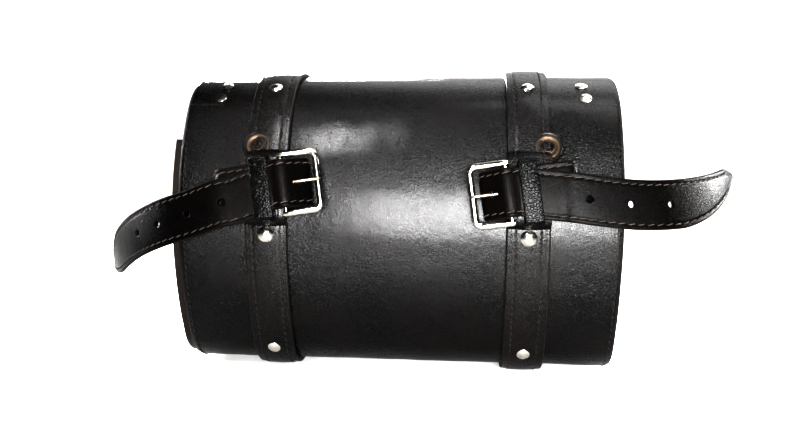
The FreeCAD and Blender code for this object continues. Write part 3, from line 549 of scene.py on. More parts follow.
def hide(section, start, end, thickness, closed_ends):
    """A sheet of the bag's leather from edge to edge, with slow waves and rounded cut edges."""
    rows, wear = [], []
    columns = spread(-HALF_WIDTH, HALF_WIDTH, 1.8 * MM)
    for s in spread(start, end, 1.8 * MM):
        top, low = [], []
        ends = [abs(s - e) for e, shut in zip((start, end), closed_ends) if shut]
        for x in columns:
            place, normal = section.at(s)
            place = place + X * x
            inset = min([end_inset(x)] + ends)
            round_off = 0.9 * MM * (1 - math.sqrt(1 - (1 - min(1.0, inset / (1.5 * MM))) ** 2))
            sunk = 0.3 * MM * math.exp(-((end_inset(x) - SEAM_INSET) / (0.7 * MM)) ** 2)
            lift = relief(place) * ease(end_inset(x), 0, 12 * MM)
            top.append(place + normal * (lift - sunk - round_off))
            low.append(place + normal * (min(lift, 0) - thickness + 0.3 * round_off))
        rows.append(top + low[::-1])
        wear.extend([max(0.0, 1 - end_inset(x) / (0.8 * MM)) for x in columns] + [0.5] * len(columns))
    return Build().grid(rows, wear, closed=True, capped=True)


def crease_blend(obj):
    """Leather that crosses the crease: its transform is applied to its mesh, and it rides neither the bag nor
    the lid.
    """
    LID.at(CREASE + BEND)[0]
    LID.at(CREASE - BEND)[0]
    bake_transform(obj)


def make_hide():
    """The wrap, the lid, and the stretch between them that bends at the crease."""
    wrap = hide(BODY, WRAP_START, WRAP_END, WRAP_T, (False, True))
    wrap.piece("wrap_leather", BLACK, "bag", "body_wrap")
    fold = hide(LID, CREASE - BEND, CREASE + BEND, LID_T, (False, False))
    crease_blend(fold.piece("crease_leather", BLACK))
    lid = hide(LID, LID_FRONT, CREASE - BEND, LID_T, (True, False))
    lid.piece("lid_leather", BLACK, "lid", "lid")


def seam_piece(path, start, end, x, height, name, body, pitch=STITCH):
    """A row of black stitches at x across a path."""
    stitches(path, start, end, lambda d: x, height, pitch).piece(name, THREAD, body)


def make_end_seams():
    """The stitches along both ends of the wrap, and along the ends of the lid's front."""
    wrap = section_path(BODY, WRAP_START, WRAP_END, 0.0)
    lid = section_path(LID, LID_FRONT, CREASE - BEND, 0.0)
    for side, sign in SIDES.items():
        x = sign * (HALF_WIDTH - SEAM_INSET)
        seam_piece(wrap, 0, wrap.length - 4 * MM, x, -0.15 * MM, "wrap_seam_" + side, "bag")
        seam_piece(lid, 4 * MM, 80 * MM, x, -0.15 * MM, "lid_seam_" + side, "lid")


def make_ear_seams():
    """The short rows across the lid's corners that hold its ears."""
    for face in ("back", "front"):
        point, normal = LID.at(LID.at_height(151.5 * MM, face))
        for side, sign in SIDES.items():
            row = [point + X * (sign * x) for x in spread(HALF_WIDTH - 21 * MM, HALF_WIDTH - 1 * MM, 2 * MM)]
            row = Path(row, Vector((0, -normal.z, normal.y)) * sign)
            seam_piece(row, 0, row.length, 0.0, -0.05 * MM, "ear_seam_" + face + "_" + side, "lid", 2.6 * MM)


def make_lid_hem():
    """The stitches along the lid's front edge, which stop at the closing tabs."""
    edge, normal = LID.at(LID_FRONT + 4 * MM)
    points = [edge + X * x for x in spread(-HALF_WIDTH, HALF_WIDTH, 4 * MM)]
    hem = Path(points, Vector((0, -normal.z, normal.y)))
    for name, start, end in (("left", 4, 48), ("middle", 64, 170), ("right", 186, 230)):
        seam_piece(hem, start * MM, end * MM, 0.0, 0.1 * MM, "lid_hem_" + name, "lid")


def plate_offset(s):
    """How far the end plate's rim is inside the bag's outline; it drops away under the lid."""
    return -FLANGE_IN - 3.2 * MM * ease(BODY.at(s)[0].z, WALL_TOP_Z, 140 * MM)


def panel_flange(build, sign, lip):
    """The pressed end's moulded corner, and the flange that stands out to the sewn edge."""
    start = BODY.at_height(HINGE_Z - 4 * MM, "back") - BODY.total
    end = BODY.at_height(WALL_TOP_Z - 3 * MM, "front")
    profile = [(0.0, 0.0), (lip - 0.6 * MM, 0.0), (lip - 0.1 * MM, -0.4 * MM), (lip, -1.1 * MM),
               (lip - 0.1 * MM, -1.8 * MM), (lip - 0.6 * MM, -2.2 * MM), (5.4 * MM, -2.2 * MM),
               (3.6 * MM, -2.8 * MM), (2.6 * MM, -4.2 * MM), (2.3 * MM, -6.5 * MM), (0.0, -6.5 * MM)]
    rows, wear = [], []
    for s in spread(start, end, 2.5 * MM):
        rows.append([BODY.at(s, out - FLANGE_IN)[0] + X * sign * (END_PLATE_X + x) for x, out in profile])
        wear.extend([1.0 if x > lip - 1 * MM else 0.0 for x, _ in profile])
    build.grid(rows, wear, closed=True, capped=True)


def panel_plate(build, sign):
    """The pressed end's recessed plate, as rims that shrink towards its middle."""
    centre = Vector((0, BODY.arcs[6][0], MID_HEIGHT))
    rims = []
    for share, x in ((0.0, 0.0), (0.0, 2.1), (0.012, 2.4), (0.06, 2.3), (0.12, 1.9), (0.5, 2.2), (0.96, 2.5)):
        rim = []
        for s in spread(0, BODY.total, 2.5 * MM)[:-1]:
            point = BODY.at(s, plate_offset(s))[0].lerp(centre, share)
            bulge = relief(point * 1.3) if share else 0
            rim.append(point + X * sign * (END_PLATE_X + x * MM + bulge))
        rims.append(rim)
    build.grid(rims, closed=True, capped=True)


def make_end_panels():
    for side, sign in SIDES.items():
        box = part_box("end_panel_" + side)
        lip = max(abs(box[0][0]), abs(box[1][0])) - END_PLATE_X
        build = Build()
        panel_flange(build, sign, lip)
        panel_plate(build, sign)
        panel = build.piece("end_shell_" + side, BLACK, "bag", "end_panel_" + side)
        if side == "left":
            edge_trim(panel, sign, lip)


def edge_trim(panel, sign, lip):
    """The raw brown edge of the flange."""
    panel.data.materials.append(RAW)
    limit = END_PLATE_X + lip - 1.0 * MM
    for face in panel.data.polygons:
        if sign * face.center.x > limit:
            face.material_index = 1


# ---- straps

def loop_gap(z):
    """Gap between the bag and its strap: the strap arches over the belt."""
    return STRAP_GAP + (LOOP_RISE - STRAP_GAP) * (ease(z, *LOOP_LOW_Z) - ease(z, *LOOP_HIGH_Z))


def edge_seams(name, side, path, start, end, across, height, attach, thread=THREAD,
               shift=lambda d: 0.0, **how):
    """A row of stitches along each edge of a strap, at across from its middle, which lies at shift."""
    for row, way in ROWS.items():
        seam = stitches(path, start, end, lambda d: way * across(d) + shift(d), height, **how)
        attach(seam.piece(name + row + "_" + side, thread))


def strap_part(name, path, side, attach, ends):
    """One stretch of a wrap-round strap with both rows of stitches. Attach is called on each object, and may
    fix it to a body.
    """
    half = STRAP_W / 2
    strap = sweep(path, 0, path.length, lambda d: half, STRAP_T, 0.75 * MM, STRAP_SEAM, ends)
    strap = strap.piece(name + "_" + side, STRAP)
    attach(strap)
    edge_seams(name + "_thread_", side, path, 0, path.length, lambda d: half - STRAP_SEAM,
               STRAP_T / 2 + 0.05 * MM, attach, hidden=under_belt)
    return strap


def under_belt(point):
    """True where a belt and its keeper cover the strap, which isn't sewn there."""
    return point.y < 0 and LOOP_LOW_Z[0] < point.z < LOOP_HIGH_Z[0]


def rides(body):
    """A way to attach a piece that simply rides one body."""
    return lambda obj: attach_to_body(obj, body)


def bends(body_a, body_b, path, start, end):
    """A way to handle a piece over a joint: its transform is applied to its mesh, and it rides neither body.
    """
    return lambda obj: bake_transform(obj, body_a, body_b, path.at(start)[0], path.at(end)[0])


def shifted(path, x):
    return Path([point + X * x for point in path.points], path.across)


def make_straps():
    """Each strap in three stretches: down the bag's back and under it, over the crease, and over the lid."""
    middle = STRAP_GAP + STRAP_T / 2
    bag_end = BODY.at_height(17 * MM, "front")
    lid_end = LID.at_height(JOINTS["tab_lift_left"]["pos_m"][2], "front") + TAB_BEND
    back = section_path(BODY, WRAP_START, bag_end, lambda z: loop_gap(z) + STRAP_T / 2)
    over = section_path(LID, lid_end, CREASE - BEND, middle)
    fold = section_path(LID, CREASE - BEND, CREASE + BEND, middle)
    for side, sign in SIDES.items():
        x = sign * STRAP_X
        strap = strap_part("bag_strap", shifted(back, x), side, rides("bag"), (True, False))
        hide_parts("back_strap_" + side)
        strap = strap_part("lid_strap_top", shifted(over, x), side, rides("lid"), (True, True))
        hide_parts("lid_strap_" + side)
        strap_part("crease_strap", shifted(fold, x), side, crease_blend, (True, True))


# ---- rivets and eyelets

def dome_profile(radius, height, base):
    """Half of a rivet head: a round dome on a short rim, closed underneath."""
    rise = height - 0.3 * MM
    ball = (radius ** 2 + rise ** 2) / (2 * rise)
    sweep_angle = math.asin(min(1.0, radius / ball))
    points = [(0.0, base - 0.2 * MM), (radius - 0.2 * MM, base - 0.2 * MM), (radius, base)]
    for k in spread(1, 0, 0.08):
        turn = sweep_angle * k
        points.append((ball * math.sin(turn), base + height - ball * (1 - math.cos(turn))))
    return points


def burr_profile(base):
    """The ring that clenches a rivet inside, with the shank's end peened over it."""
    rim = [(0.0, 0.1), (3.4, 0.0), (3.4, -0.5), (3.0, -0.8), (1.8, -0.8), (1.3, -1.1), (0.0, -1.25)]
    return in_mm(rim, base)


def rivets(name, node, body, section, spots, under):
    """Rivets as (length on the section, x, head radius, head height, level of the head)."""
    build = Build()
    for s, x, radius, height, level in spots:
        place, normal = section.at(s)
        build.lathe(dome_profile(radius, height, level), place + X * x, normal, X, 36)
        build.lathe(burr_profile(under), place + X * x, normal, X, 24)
    build.piece(name, NICKEL, body, node)


def make_rivets():
    level = STRAP_GAP + STRAP_T + 0.55 * MM
    big, small, flat = (4.4 * MM, 2.3 * MM), (3.6 * MM, 1.5 * MM), (3.3 * MM, 0.8 * MM)
    for side, sign in SIDES.items():
        x = sign * STRAP_X
        spots = [(BODY.at_height(81.5 * MM, "back"), x, *big, level),
                 (BODY.at_height(16.5 * MM, "back"), x, *small, level),
                 (BODY.at_height(9.5 * MM, "front"), x, *small, level)]
        rivets("strap_rivets_" + side, "body_rivets_" + side, "bag", BODY, spots, BURR_LEVEL)
        spots = [(LID.at_height(158.5 * MM, "back"), x, *small, level)]
        spots += [(LID.at_height(z * MM, "front"), x, *small, level) for z in (148, 127)]
        rivets("flap_rivets_" + side, "lid_rivets_" + side, "lid", LID, spots, -LID_T - 0.05 * MM)
        spots = []
        for face in ("back", "front"):
            for rivet_x, z in ((101.3, 155.2), (100.0, 162.3)):
                spots.append((LID.at_height(z * MM, face), sign * rivet_x * MM, *flat, 0.1 * MM))
        rivets("corner_rivets_" + side, "ear_rivets_" + side, "lid", LID, spots, -LID_T - 2.1 * MM)


def make_eyelets():
    """A rolled eyelet with a split rim, on a round leather pad."""
    top = 3.1 * MM
    barrel = [(2.35, -4.8), (3.0, -4.8), (5.1, -4.8), (5.1, -4.2), (3.0, -4.1), (3.0, 3.0), (3.4, 3.35)]
    rim = [(3.9, 3.3), (4.2, 3.15), (4.6, 3.3), (5.4, 3.75), (6.2, 3.75), (6.9, 3.35), (7.05, 3.0),
           (6.5, 3.0), (3.1, 2.9), (2.9, 3.6), (3.3, 4.1), (3.0, 4.25), (2.6, 4.0), (2.35, 3.4)]
    pad = [(2.6, -2.6), (7.9, -2.6), (8.5, -2.2), (8.65, -1.4), (8.4, -0.5), (7.8, -0.1), (7.3, -0.25),
           (6.9, 0.0), (2.6, 0.0)]
    for side in SIDES:
        mount = MOUNTS["eyelet_" + side]
        place, axis = Vector(mount["pos_m"]), Vector(mount["axis"])
        ring = Build().lathe(in_mm(barrel + rim), place, axis, X, 64, skip=(262, 266))
        ring.piece("eyelet_ring_" + side, BRASS, "bag", "eyelet_" + side)
        washer = Build().lathe(in_mm(pad, top), place, axis, X, 64)
        washer.piece("eyelet_pad_" + side, STRAP, "bag")


# ---- buckles and keepers

def frame_outline(far, half):
    """A buckle frame's wire from one end of its bar round the front bar to the other, as (reach, across)."""
    corner = FRAME_CORNER
    line = [(-1.6 * MM, -half)]
    line += [(d, -half) for d in spread(0, far - corner, 2 * MM)]
    for t in spread(0.15, 1.57, 0.15):
        line.append((far - corner + corner * math.sin(t), -half + corner - corner * math.cos(t)))
    line += [(far, w) for w in spread(-half + corner + 1 * MM, half - corner - 1 * MM, 2 * MM)]
    line += [(a, -b) for a, b in line[::-1] if b < 0 and (a < far - 0.01 * MM or b < -half + corner)]
    return line


def buckle(kind, side, bar, reach_way, out):
    """A flat wire frame with rounded corners round a bar. Reach_way points from the bar to the front bar."""
    u = reach_way.normalized()
    v = out.cross(reach_way).normalized()
    half = FRAME_INNER / 2 + WIRE[0]
    points = [bar + u * a + v * b for a, b in frame_outline(reach_way.length, half)]
    radii = [WIRE[0] * 0.75] + [WIRE[0]] * (len(points) - 2) + [WIRE[0] * 0.75]
    build = Build().tube(points, radii, out, 18, WIRE[1] / WIRE[0])
    build.tube([bar - v * half, bar, bar + v * half], [BAR_R] * 3, out, 16)
    frame_name = kind + "_frame_" + side
    build.piece(frame_name, CHROME, frame_name, kind + "_buckle_" + side)


def prong_root(bar, out):
    """The middle of a prong over the bar."""
    return bar + out * (BAR_R + 0.6 * MM)


def prong_rest(bar, reach_way, out):
    """Where a prong's tip lies on the front bar."""
    return bar + reach_way + out * (WIRE[1] + 0.95 * MM)


def roll_profile(inner, outer, low, high, bevel, bevel_high):
    """The section of a ring from low to high, with bevelled outer corners."""
    return [(inner, low), (outer - bevel, low), (outer, low + bevel_high), (outer, high - bevel_high),
            (outer - bevel, high), (inner, high), (inner, low)]


def prong(kind, side, bar, reach_way, out):
    """A tongue: its root is rolled round the bar and its tip rests on the front bar, bent down a little."""
    u = reach_way.normalized()
    v = out.cross(u).normalized()
    rest = prong_rest(bar, reach_way, out)
    ring = in_mm(roll_profile(1.36, 2.6, -1.3, 1.3, 0.15, 0.4))
    build = Build().lathe(ring, bar, v, u, 28)
    start = prong_root(bar, out)
    points, radii = [], []
    for k in spread(0, 1, 0.08):
        point = start.lerp(rest + u * 1.7 * MM, k) + out * (0.5 * MM * math.sin(math.pi * k))
        points.append(point - out * 0.7 * MM * max(0.0, (k - 0.88) / 0.12) ** 2)
        radii.append((1.05 - 0.2 * k) * MM * (0.6 if k > 0.99 else 1.0))
    build.tube(points, radii, v, 14)
    node = kind + "_prong_" + side
    # The prong's darker chrome is painted shade.
    build.piece(kind + "_tongue_" + side, SHADED_CHROME, node, node)


def loop_outline(half_w, half_h):
    """A rectangle with rounded corners, with points close together all the way round."""
    corner = 1.5 * MM
    loop = []
    for quarter, (across, high) in enumerate(((1, 1), (-1, 1), (-1, -1), (1, -1))):
        for t in spread(0, math.pi / 2, 0.26):
            turn = t + quarter * math.pi / 2
            loop.append(Vector(((half_w - corner) * across + corner * math.cos(turn),
                                (half_h - corner) * high + corner * math.sin(turn))))
    return densify(loop, 1.5 * MM)


def keeper(kind, side, middle, along, out, height, width, room):
    """A leather loop with rounded corners and a slightly bowed outer face."""
    v = out.cross(along).normalized()
    half_w, half_h = width / 2 + room + KEEPER_T / 2, height / 2
    loop = loop_outline(half_w, half_h)
    section = [(-1.0, -0.5), (-0.97, -0.8), (-0.9, -1.0), (0.9, -1.0), (0.97, -0.8), (1.0, -0.5),
               (1.0, 0.4), (0.96, 0.8), (0.85, 1.0), (0.4, 1.12), (-0.4, 1.12), (-0.85, 1.0), (-0.96, 0.8),
               (-1.0, 0.4)]
    rows = []
    for i, point in enumerate(loop):
        way = (loop[(i + 1) % len(loop)] - loop[i - 1]).normalized()
        outward = Vector((way.y, -way.x))
        bow = 0.25 * MM * (1 - (point.x / half_w) ** 2) if point.y > half_h - 0.1 * MM else 0.0
        row = []
        for lengthwise, thick in section:
            spot = point + outward * (thick * KEEPER_T / 2 + bow)
            row.append(middle + v * spot.x + out * spot.y + along * (lengthwise * KEEPER_L / 2))
        rows.append(row)
    rows.append(rows[0])
    node = kind + "_keeper_" + side
    Build().grid(rows, closed=True).piece(kind + "_loop_" + side, KEEPER, node, node)


def densify(loop, step):
    """The closed loop again, with more points on its long sides."""
    fine = []
    for a, b in zip(loop, loop[1:] + loop[:1]):
        count = max(1, int((b - a).length / step))
        fine += [a.lerp(b, k / count) for k in range(count)]
    return fine


def eye(kind, side, bar, out, u, width, material):
    """The leather rolled round the buckle's bar, in two halves beside the prong."""
    v = out.cross(u).normalized()
    build = Build()
    for way in (-1, 1):
        ends = sorted((way * 1.8 * MM, way * width / 2))
        build.lathe(roll_profile(BAR_R + 0.1 * MM, EYE_R, *ends, 0.4 * MM, 0.5 * MM), bar, v, u, 28)
    build.piece(kind + "_eye_" + side, material, kind + "_" + side)


# ---- mounting belts

TAIL_N = 2.9 * MM           # the tail's middle over the bar's
OUTER_TURN = 31.4 * MM
UNDER_N = -8.5 * MM
INNER_TURN_R = 3 * MM
RAMP = math.radians(38)
CREST = math.radians(20)
SETTLE_R = 6 * MM
TAIL_DRIFT = 0.23           # the tail sets off this much lower than the fold under it
TAIL_POINT = {"left": (0.0, 0.72, 0.72), "right": (6 * MM, 0.88, 0.52)}  # tip, where each edge closes in
TAIL_CUT = 21.8 * MM        # from the bar to the place where the tail bends
FRONT_DROP = -0.4 * MM
BELT_ENTRY = 0.42           # the share of the prong at which it goes through the leather
KEEPER_PLAY = 0.25 * MM
KEEPER_REACH = 6.3 * MM     # from the bar to the keeper
KEEPER_DROP = 1.1 * MM
HOLES = {"left": (11.1, 31.6, 51.6, 69.6), "right": (17.9, 39.1, 60.3)}  # from where the tail bends
TAIL_ROUTE = {
    "right": [(92, -65.0, 103.8), (106, -64.6, 102.0), (122, -62.6, 100.4), (140, -58.0, 100.3),
              (158, -48.0, 101.6), (174, -32.5, 104.0), (187, -13.0, 107.2)],
    "left": [(-92, -65.2, 98.6), (-108, -63.0, 92.9), (-127, -57.8, 86.7), (-145, -47.0, 79.0),
             (-161, -30.5, 69.6), (-175, -10.0, 60.0), (-186, 11.0, 50.5)],
}


def belt_line():
    """Points (u, n) of the folded belt, from the bar's middle round to where the tail is level."""
    over = EYE_R + 0.3 * MM + BELT_T / 2
    top = Vector((-over * math.sin(RAMP), over * math.cos(RAMP)))
    rise = top.y - (UNDER_N + INNER_TURN_R * (1 + math.cos(RAMP)))
    inner = top.x - rise / math.tan(RAMP) + INNER_TURN_R * math.sin(RAMP)
    crest_end = Vector((over * math.sin(CREST), over * math.cos(CREST)))
    fall = (crest_end.y - TAIL_N - SETTLE_R * (1 - math.cos(CREST))) / math.sin(CREST)
    outer_r = -UNDER_N / 2
    moves = [(OUTER_TURN, 0), (outer_r, -math.pi), (OUTER_TURN - inner, 0), (INNER_TURN_R, RAMP - math.pi),
             (rise / math.sin(RAMP), 0), (over, -RAMP - CREST), (fall, 0), (SETTLE_R, CREST)]
    place, heading, points = Vector((0.0, 0.0)), 0.0, [Vector((0.0, 0.0))]
    for size, turn in moves:
        if turn == 0:
            for d in spread(0, size, 1 * MM)[1:]:
                points.append(place + Vector((math.cos(heading), math.sin(heading))) * d)
        else:
            way = math.copysign(1, turn)
            centre = place + Vector((-math.sin(heading), math.cos(heading))) * way * size
            for t in spread(0, turn, 0.12)[1:]:
                a = heading + t
                points.append(centre - Vector((-math.sin(a), math.cos(a))) * way * size)
            heading += turn
        place = points[-1]
    return points


def part_way(a, b, start, end, t):
    """The point between a and b for t between start and end."""
    return a * ((end - t) / (end - start)) + b * ((t - start) / (end - start))


def smooth_through(points, step):
    """A centripetal spline through points."""
    ends = [points[0] * 2 - points[1]] + points + [points[-1] * 2 - points[-2]]
    line = []
    for p0, p1, p2, p3 in zip(ends, ends[1:], ends[2:], ends[3:]):
        t0, t1 = 0.0, (p1 - p0).length ** 0.5
        t2 = t1 + (p2 - p1).length ** 0.5
        t3 = t2 + (p3 - p2).length ** 0.5
        for t in spread(t1, t2, (t2 - t1) * step / (p2 - p1).length)[:-1]:
            middle = part_way(p1, p2, t1, t2, t)
            before = part_way(part_way(p0, p1, t0, t1, t), middle, t0, t2, t)
            after = part_way(middle, part_way(p2, p3, t2, t3, t), t1, t3, t)
            line.append(part_way(before, after, t1, t2, t))
    return line + [points[-1]]


def belt_axes(side):
    """The buckle bar's middle and the belt's outboard, across and outward directions."""
    lift = JOINTS["belt_frame_lift_" + side]
    bar, w = Vector(lift["pos_m"]), Vector(lift["axis"])
    n = Vector(MOUNTS["belt_" + side]["axis"])
    return bar, w.cross(n).normalized(), w, n


def downward(w):
    return w * math.copysign(1, -w.z)


def tail_edges(share, tip, high_from, low_from):
    """The heights of the tail's upper and lower edges over its middle line; they meet in a blunt point."""
    high_share, low_share = (max(0.0, (share - k) / (1 - k)) ** 1.4 for k in (high_from, low_from))
    high = BELT_W / 2 + (tip + 1.5 * MM - BELT_W / 2) * high_share
    low = -BELT_W / 2 + (tip - 1.5 * MM + BELT_W / 2) * low_share
    return high, low


def belt_path(side):
    """The belt's path from its sewn end to its tip, and the distance at which the tail bends."""
    bar, u, w, n = belt_axes(side)
    fold = [bar + u * p.x + n * p.y for p in belt_line()]
    route = []
    for reach in (TAIL_CUT - 6 * MM, TAIL_CUT, TAIL_CUT + 4.8 * MM):
        route.append(bar + u * reach + n * TAIL_N + downward(w) * (TAIL_DRIFT * (reach - 3 * MM)))
    far = [Vector(point) * MM for point in TAIL_ROUTE[side]]
    path = Path(fold + smooth_through([fold[-1]] + route + far, 1.2 * MM)[1:], w)
    return path, path.reach[len(fold) - 1] + (route[1] - fold[-1]).length


def belt_shape(path, cut, side):
    """Half the belt's width, and how far its middle lies across the path, as functions of the distance."""
    up = math.copysign(1, path.across.z)

    def edges(d):
        return tail_edges(max(0.0, (d - cut) / (path.length - cut)), *TAIL_POINT[side])

    def half(d):
        high, low = edges(d)
        return (high - low) / 2

    def shift(d):
        high, low = edges(d)
        return up * (high + low) / 2

    return half, shift


def belt_leather(side, path, cut):
    """The belt in three stretches, each with two rows of stitches. Returns the folded one and the tail."""
    half, shift = belt_shape(path, cut, side)
    start, end = cut - 2 * MM, cut + 4 * MM
    folded, tail = "belt_" + side, "belt_tail_" + side
    stretches = (
        ("belt_fold_", "belt_thread_", 0.0, start, 6 * MM, 0.0, rides(folded)),
        ("belt_bend_", "bend_thread_", start, end, 0.4 * MM, 0.4 * MM, bends(folded, tail, path, start, end)),
        ("belt_end_", "tail_thread_", end, path.length, 0.0, 14 * MM, rides(tail)),
    )
    pieces = []
    for name, thread_name, a, b, skip_a, skip_b, attach in stretches:
        strap = sweep(path, a, b, half, BELT_T, 0.35 * MM, BELT_SEAM, (True, b < path.length), shift)
        pieces.append(strap.piece(name + side, BELT))
        attach(pieces[-1])
        edge_seams(thread_name, side, path, a + skip_a, b - skip_b, lambda d: half(d) - BELT_SEAM,
                   BELT_T / 2, attach, BROWN_THREAD, shift, pitch=BELT_STITCH)
    return pieces[0], pieces[2]


def make_belt(side):
    bar, u, w, n = belt_axes(side)
    path, cut = belt_path(side)
    fold, tail = belt_leather(side, path, cut)
    front = -u * FRAME_REACH + n * FRONT_DROP
    entry = prong_root(bar, n).lerp(prong_rest(bar, front, n), BELT_ENTRY)
    punch(fold, [(entry, n, 2.1 * MM)])
    punch(tail, [(*path.at(cut + d * MM)[::2], HOLE_R) for d in HOLES[side]])
    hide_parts("mounting_belt_" + side)
    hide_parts("belt_tail_" + side)
    eye("belt", side, bar, n, u, BELT_W, BELT)
    buckle("belt", side, bar, front, n)
    prong("belt", side, bar, front, n)
    past = BELT_T / 2 + KEEPER_PLAY + KEEPER_T / 2
    middle = bar + u * (KEEPER_REACH + KEEPER_L / 2) + n * TAIL_N / 2 + downward(w) * KEEPER_DROP
    keeper("belt", side, middle, u, n, TAIL_N + 2 * past, BELT_W, BELT_KEEPER_ROOM)


# ---- closing tabs

TAB_UNDER = 2.0 * MM
TAB_LAYERS = 0.3 * MM
TAB_BAR_OUT = 3.3 * MM
TAB_FRONT_OUT = 5.6 * MM
TAB_ENTRY = 0.45
TIP_LENGTH = 13 * MM
TIP_HALF = 3 * MM
TAB_BAR_Z = 83.5 * MM
TAB_KEEPER_Z = 67.5 * MM
SPARE_HOLE_Z = 60 * MM
STRAP_TIP_Z = 50 * MM
MAGNET_Z = 30 * MM
TAB_END_Z = 21 * MM
TAB_BAR_S = LID.at_height(TAB_BAR_Z, "front")
TAB_FRONT_S = TAB_BAR_S + FRAME_REACH


def tab_gap(s):
    """Gap under the strap end: up through the buckle, over its bar and down onto the tab."""
    level = TAB_UNDER + BELT_T + TAB_LAYERS
    crest = TAB_BAR_OUT + EYE_R + 0.35 * MM
    up = ease(TAB_FRONT_S - s, 1.0 * MM, FRAME_REACH - 1.2 * MM)
    down = ease(TAB_BAR_S - s, 1.6 * MM, 8 * MM)
    return STRAP_GAP + (crest - STRAP_GAP) * up - (crest - level) * down


def make_strap_end(side, x):
    """The lid strap's end, from its point through the buckle up to the lid, and the stretch that bends."""
    body = "tab_" + side
    half = STRAP_W / 2
    tip = LID.at_height(STRAP_TIP_Z, "front")
    end = LID.at_height(JOINTS["tab_lift_" + side]["pos_m"][2], "front") + TAB_BEND
    path = Path([LID.at(s, tab_gap(s) + STRAP_T / 2)[0] + X * x for s in spread(tip, end, 1 * MM)], X)
    bend, length = path.length - 2 * TAB_BEND, path.length
    pointed = lambda d: TIP_HALF + (half - TIP_HALF) * min(1.0, d / TIP_LENGTH) ** 0.8
    strap = sweep(path, 0, bend, pointed, STRAP_T, 0.5 * MM, STRAP_SEAM, (False, True))
    strap = strap.piece("strap_end_leather_" + side, STRAP, body, "strap_end_" + side)
    fold = sweep(path, bend, length, lambda d: half, STRAP_T, 0.75 * MM, STRAP_SEAM, (True, True))
    bends(body, "lid", path, bend, length)(fold.piece("strap_bend_" + side, STRAP))
    edge_seams("strap_end_thread_", side, path, TIP_LENGTH, bend, lambda d: half - STRAP_SEAM,
               STRAP_T / 2, rides(body))
    return strap


def make_tab_leather(side, x):
    """The closing tab itself, from its round end up to the buckle's bar."""
    half = STRAP_W / 2
    end = LID.at_height(TAB_END_Z, "front")
    path = shifted(section_path(LID, end, TAB_BAR_S, TAB_UNDER + BELT_T / 2), x)
    rounded = lambda d: half * math.sqrt(max(0.04, 1 - (1 - min(1.0, d / half)) ** 2))
    tab = sweep(path, 0, path.length, rounded, BELT_T, 0.4 * MM, STRAP_SEAM, (False, True))
    tab.piece("tab_leather_" + side, STRAP, "tab_" + side, "closing_tab_" + side)
    edge_seams("tab_thread_", side, path, 8 * MM, path.length - 20 * MM, lambda d: half - STRAP_SEAM,
               BELT_T / 2, rides("tab_" + side))


def make_tab_keeper(side, x):
    place, normal = LID.at(LID.at_height(TAB_KEEPER_Z, "front"))
    low = TAB_UNDER - TAB_LAYERS - KEEPER_T / 2
    high = TAB_UNDER + BELT_T + STRAP_T + 2 * TAB_LAYERS + KEEPER_T / 2
    up = Vector((0, -normal.z, normal.y))
    middle = place + X * x + normal * (low + high) / 2
    keeper("tab", side, middle, up, normal, high - low, STRAP_W, KEEPER_ROOM)


def make_tab(side):
    x = SIDES[side] * STRAP_X
    bar = Vector(JOINTS["tab_frame_lift_" + side]["pos_m"])
    strap = make_strap_end(side, x)
    reach = (LID.at(TAB_FRONT_S)[0] - LID.at(TAB_BAR_S)[0]).normalized()
    out = Vector((0, reach.z, -reach.y))
    front = reach * FRAME_REACH + out * (TAB_FRONT_OUT - TAB_BAR_OUT)
    entry = prong_root(bar, out).lerp(prong_rest(bar, front, out), TAB_ENTRY)
    spare, spare_way = LID.at(LID.at_height(SPARE_HOLE_Z, "front"), 6 * MM)
    punch(strap, [(entry, out, HOLE_R), (spare + X * x, spare_way, 1.8 * MM)])
    make_tab_leather(side, x)
    eye("tab", side, bar, out, reach, STRAP_W, STRAP)
    buckle("tab", side, bar, front, out)
    prong("tab", side, bar, front, out)
    make_tab_keeper(side, x)
    make_magnet(side, x)


def make_magnet(side, x):
    """A domed cap on the tab's end, the magnet under it, and the steel catch on the bag."""
    place, normal = LID.at(LID.at_height(MAGNET_Z, "front"))
    over = TAB_UNDER + BELT_T + 0.35 * MM
    build = Build().lathe(dome_profile(6.2 * MM, 2.3 * MM, over), place + X * x, normal, X, 40)
    disc = [(0, 1.95), (5.0, 1.95), (5.0, -0.35), (4.7, -0.65), (0, -0.65)]
    build.lathe(in_mm(disc), place + X * x, normal, X, 36)
    build.piece("tab_cap_" + side, NICKEL, "tab_" + side, "tab_magnet_" + side)
    place, normal = BODY.at(BODY.at_height(MAGNET_Z, "front"))
    plate = [(0, 0.05), (5.6, 0.05), (5.6, 1.2), (5.3, 1.45), (2.2, 1.45), (1.9, 1.2), (0, 1.2)]
    build = Build().lathe(in_mm(plate), place + X * x, normal, X, 36)
    build.lathe(burr_profile(BURR_LEVEL), place + X * x, normal, X, 24)
    build.piece("catch_plate_" + side, NICKEL, "bag", "tab_catch_" + side)


# ---- the CAD parts that stay in view

def dress_cad_parts():
    """The liner and the ears keep their CAD shape."""
    for name, material in (("stiffener_liner", BOARD), ("lid_ear_left", BLACK), ("lid_ear_right", BLACK)):
        obj = frame["nodes"][name]
        obj.data.materials.clear()
        obj.data.materials.append(material)


# ---- studio

def make_stage():
    """A pale floor that curves up into a backdrop behind the bag."""
    profile = [(-3.0, 0.0), (0.9, 0.0)]
    profile += [(0.9 + 0.5 * math.sin(t), 0.5 - 0.5 * math.cos(t)) for t in spread(0, math.pi / 2, 0.2)]
    profile += [(1.4, 2.2)]
    rows = [[Vector((x, y, z)) for y, z in profile] for x in (-3.5, 3.5)]
    Build().grid(rows).piece("floor", backdrop_paper())


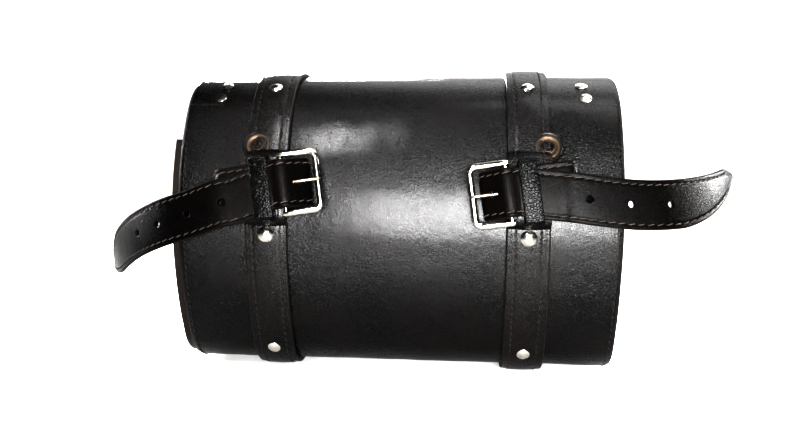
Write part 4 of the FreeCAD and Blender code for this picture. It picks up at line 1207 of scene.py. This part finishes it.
def area_light(name, place, target, size, power, spread_deg=180):
    """A rectangular lamp. A narrow spread keeps its light off the floor and the backdrop."""
    lamp = bpy.data.lights.new(name, "AREA")
    lamp.shape, lamp.size, lamp.size_y = "RECTANGLE", size[0], size[1]
    lamp.energy = power
    lamp.spread = math.radians(spread_deg)
    obj = put(name, lamp)
    obj.location = place
    obj.rotation_euler = (Vector(target) - Vector(place)).to_track_quat("-Z", "Y").to_euler()


def make_lights():
    world = bpy.data.worlds.new("studio")
    world.use_nodes = True
    background = world.node_tree.nodes["Background"]
    background.inputs["Color"].default_value = rgb(0.9, 0.95, 1.0)
    background.inputs["Strength"].default_value = 0.06
    bpy.context.scene.world = world
    area_light("overhead", (0.45, 0.95, 1.55), (0.05, 0.2, 0.05), (2.0, 0.9), 62)
    area_light("key", (-0.135, -0.46, 0.575), (-0.033, -0.047, 0.136), (0.03, 0.20), 0.75, 40)
    area_light("flash", (0.085, -0.55, 0.10), (0.04, 0, 0.095), (0.38, 0.27), 8.4, 50)
    area_light("side_sheen", (0.36, -0.32, 1.2), (0.09, -0.04, 0.13), (0.4, 0.6), 4.0, 60)
    area_light("front_fill", (-0.35, 1.0, 0.40), (0.0, 0.05, 0.10), (0.5, 0.4), 14.0, 50)
    for side, sign in SIDES.items():
        area_light("end_fill_" + side, (sign * 1.0, 0.30, 0.35), (sign * 0.11, 0.05, 0.09), (0.3, 0.3),
                   5.0, 40)
    area_light("backdrop", (-0.3, 0.5, 0.9), (-0.3, 1.4, 0.5), (3.0, 0.8), 55)


def make_camera():
    """The photograph's own view: close, a little above the bag's middle and a little to its right."""
    azimuth, elevation, roll = math.radians(4.66), math.radians(5.92), math.radians(0.35)
    aim, distance = Vector((-1.94 * MM, 0, 84.95 * MM)), 438 * MM
    camera = bpy.data.cameras.new("camera")
    camera.lens, camera.sensor_width = 32.58, 36.0
    camera.clip_start, camera.clip_end = 0.01, 20
    obj = put("camera", camera)
    turn = (Matrix.Rotation(azimuth, 4, "Z") @ Matrix.Rotation(math.pi / 2 - elevation, 4, "X")
            @ Matrix.Rotation(roll, 4, "Z"))
    obj.matrix_world = Matrix.Translation(aim) @ turn @ Matrix.Translation((0, 0, distance))
    bpy.context.scene.camera = obj


make_hide()
make_end_seams()
make_ear_seams()
make_lid_hem()
make_end_panels()
make_straps()
make_rivets()
make_eyelets()
for belt_side in SIDES:
    make_belt(belt_side)
    make_tab(belt_side)
dress_cad_parts()
make_stage()
make_lights()
make_camera()
bpy.context.scene.view_settings.view_transform = "Standard"
bpy.context.scene.view_settings.gamma = 0.62
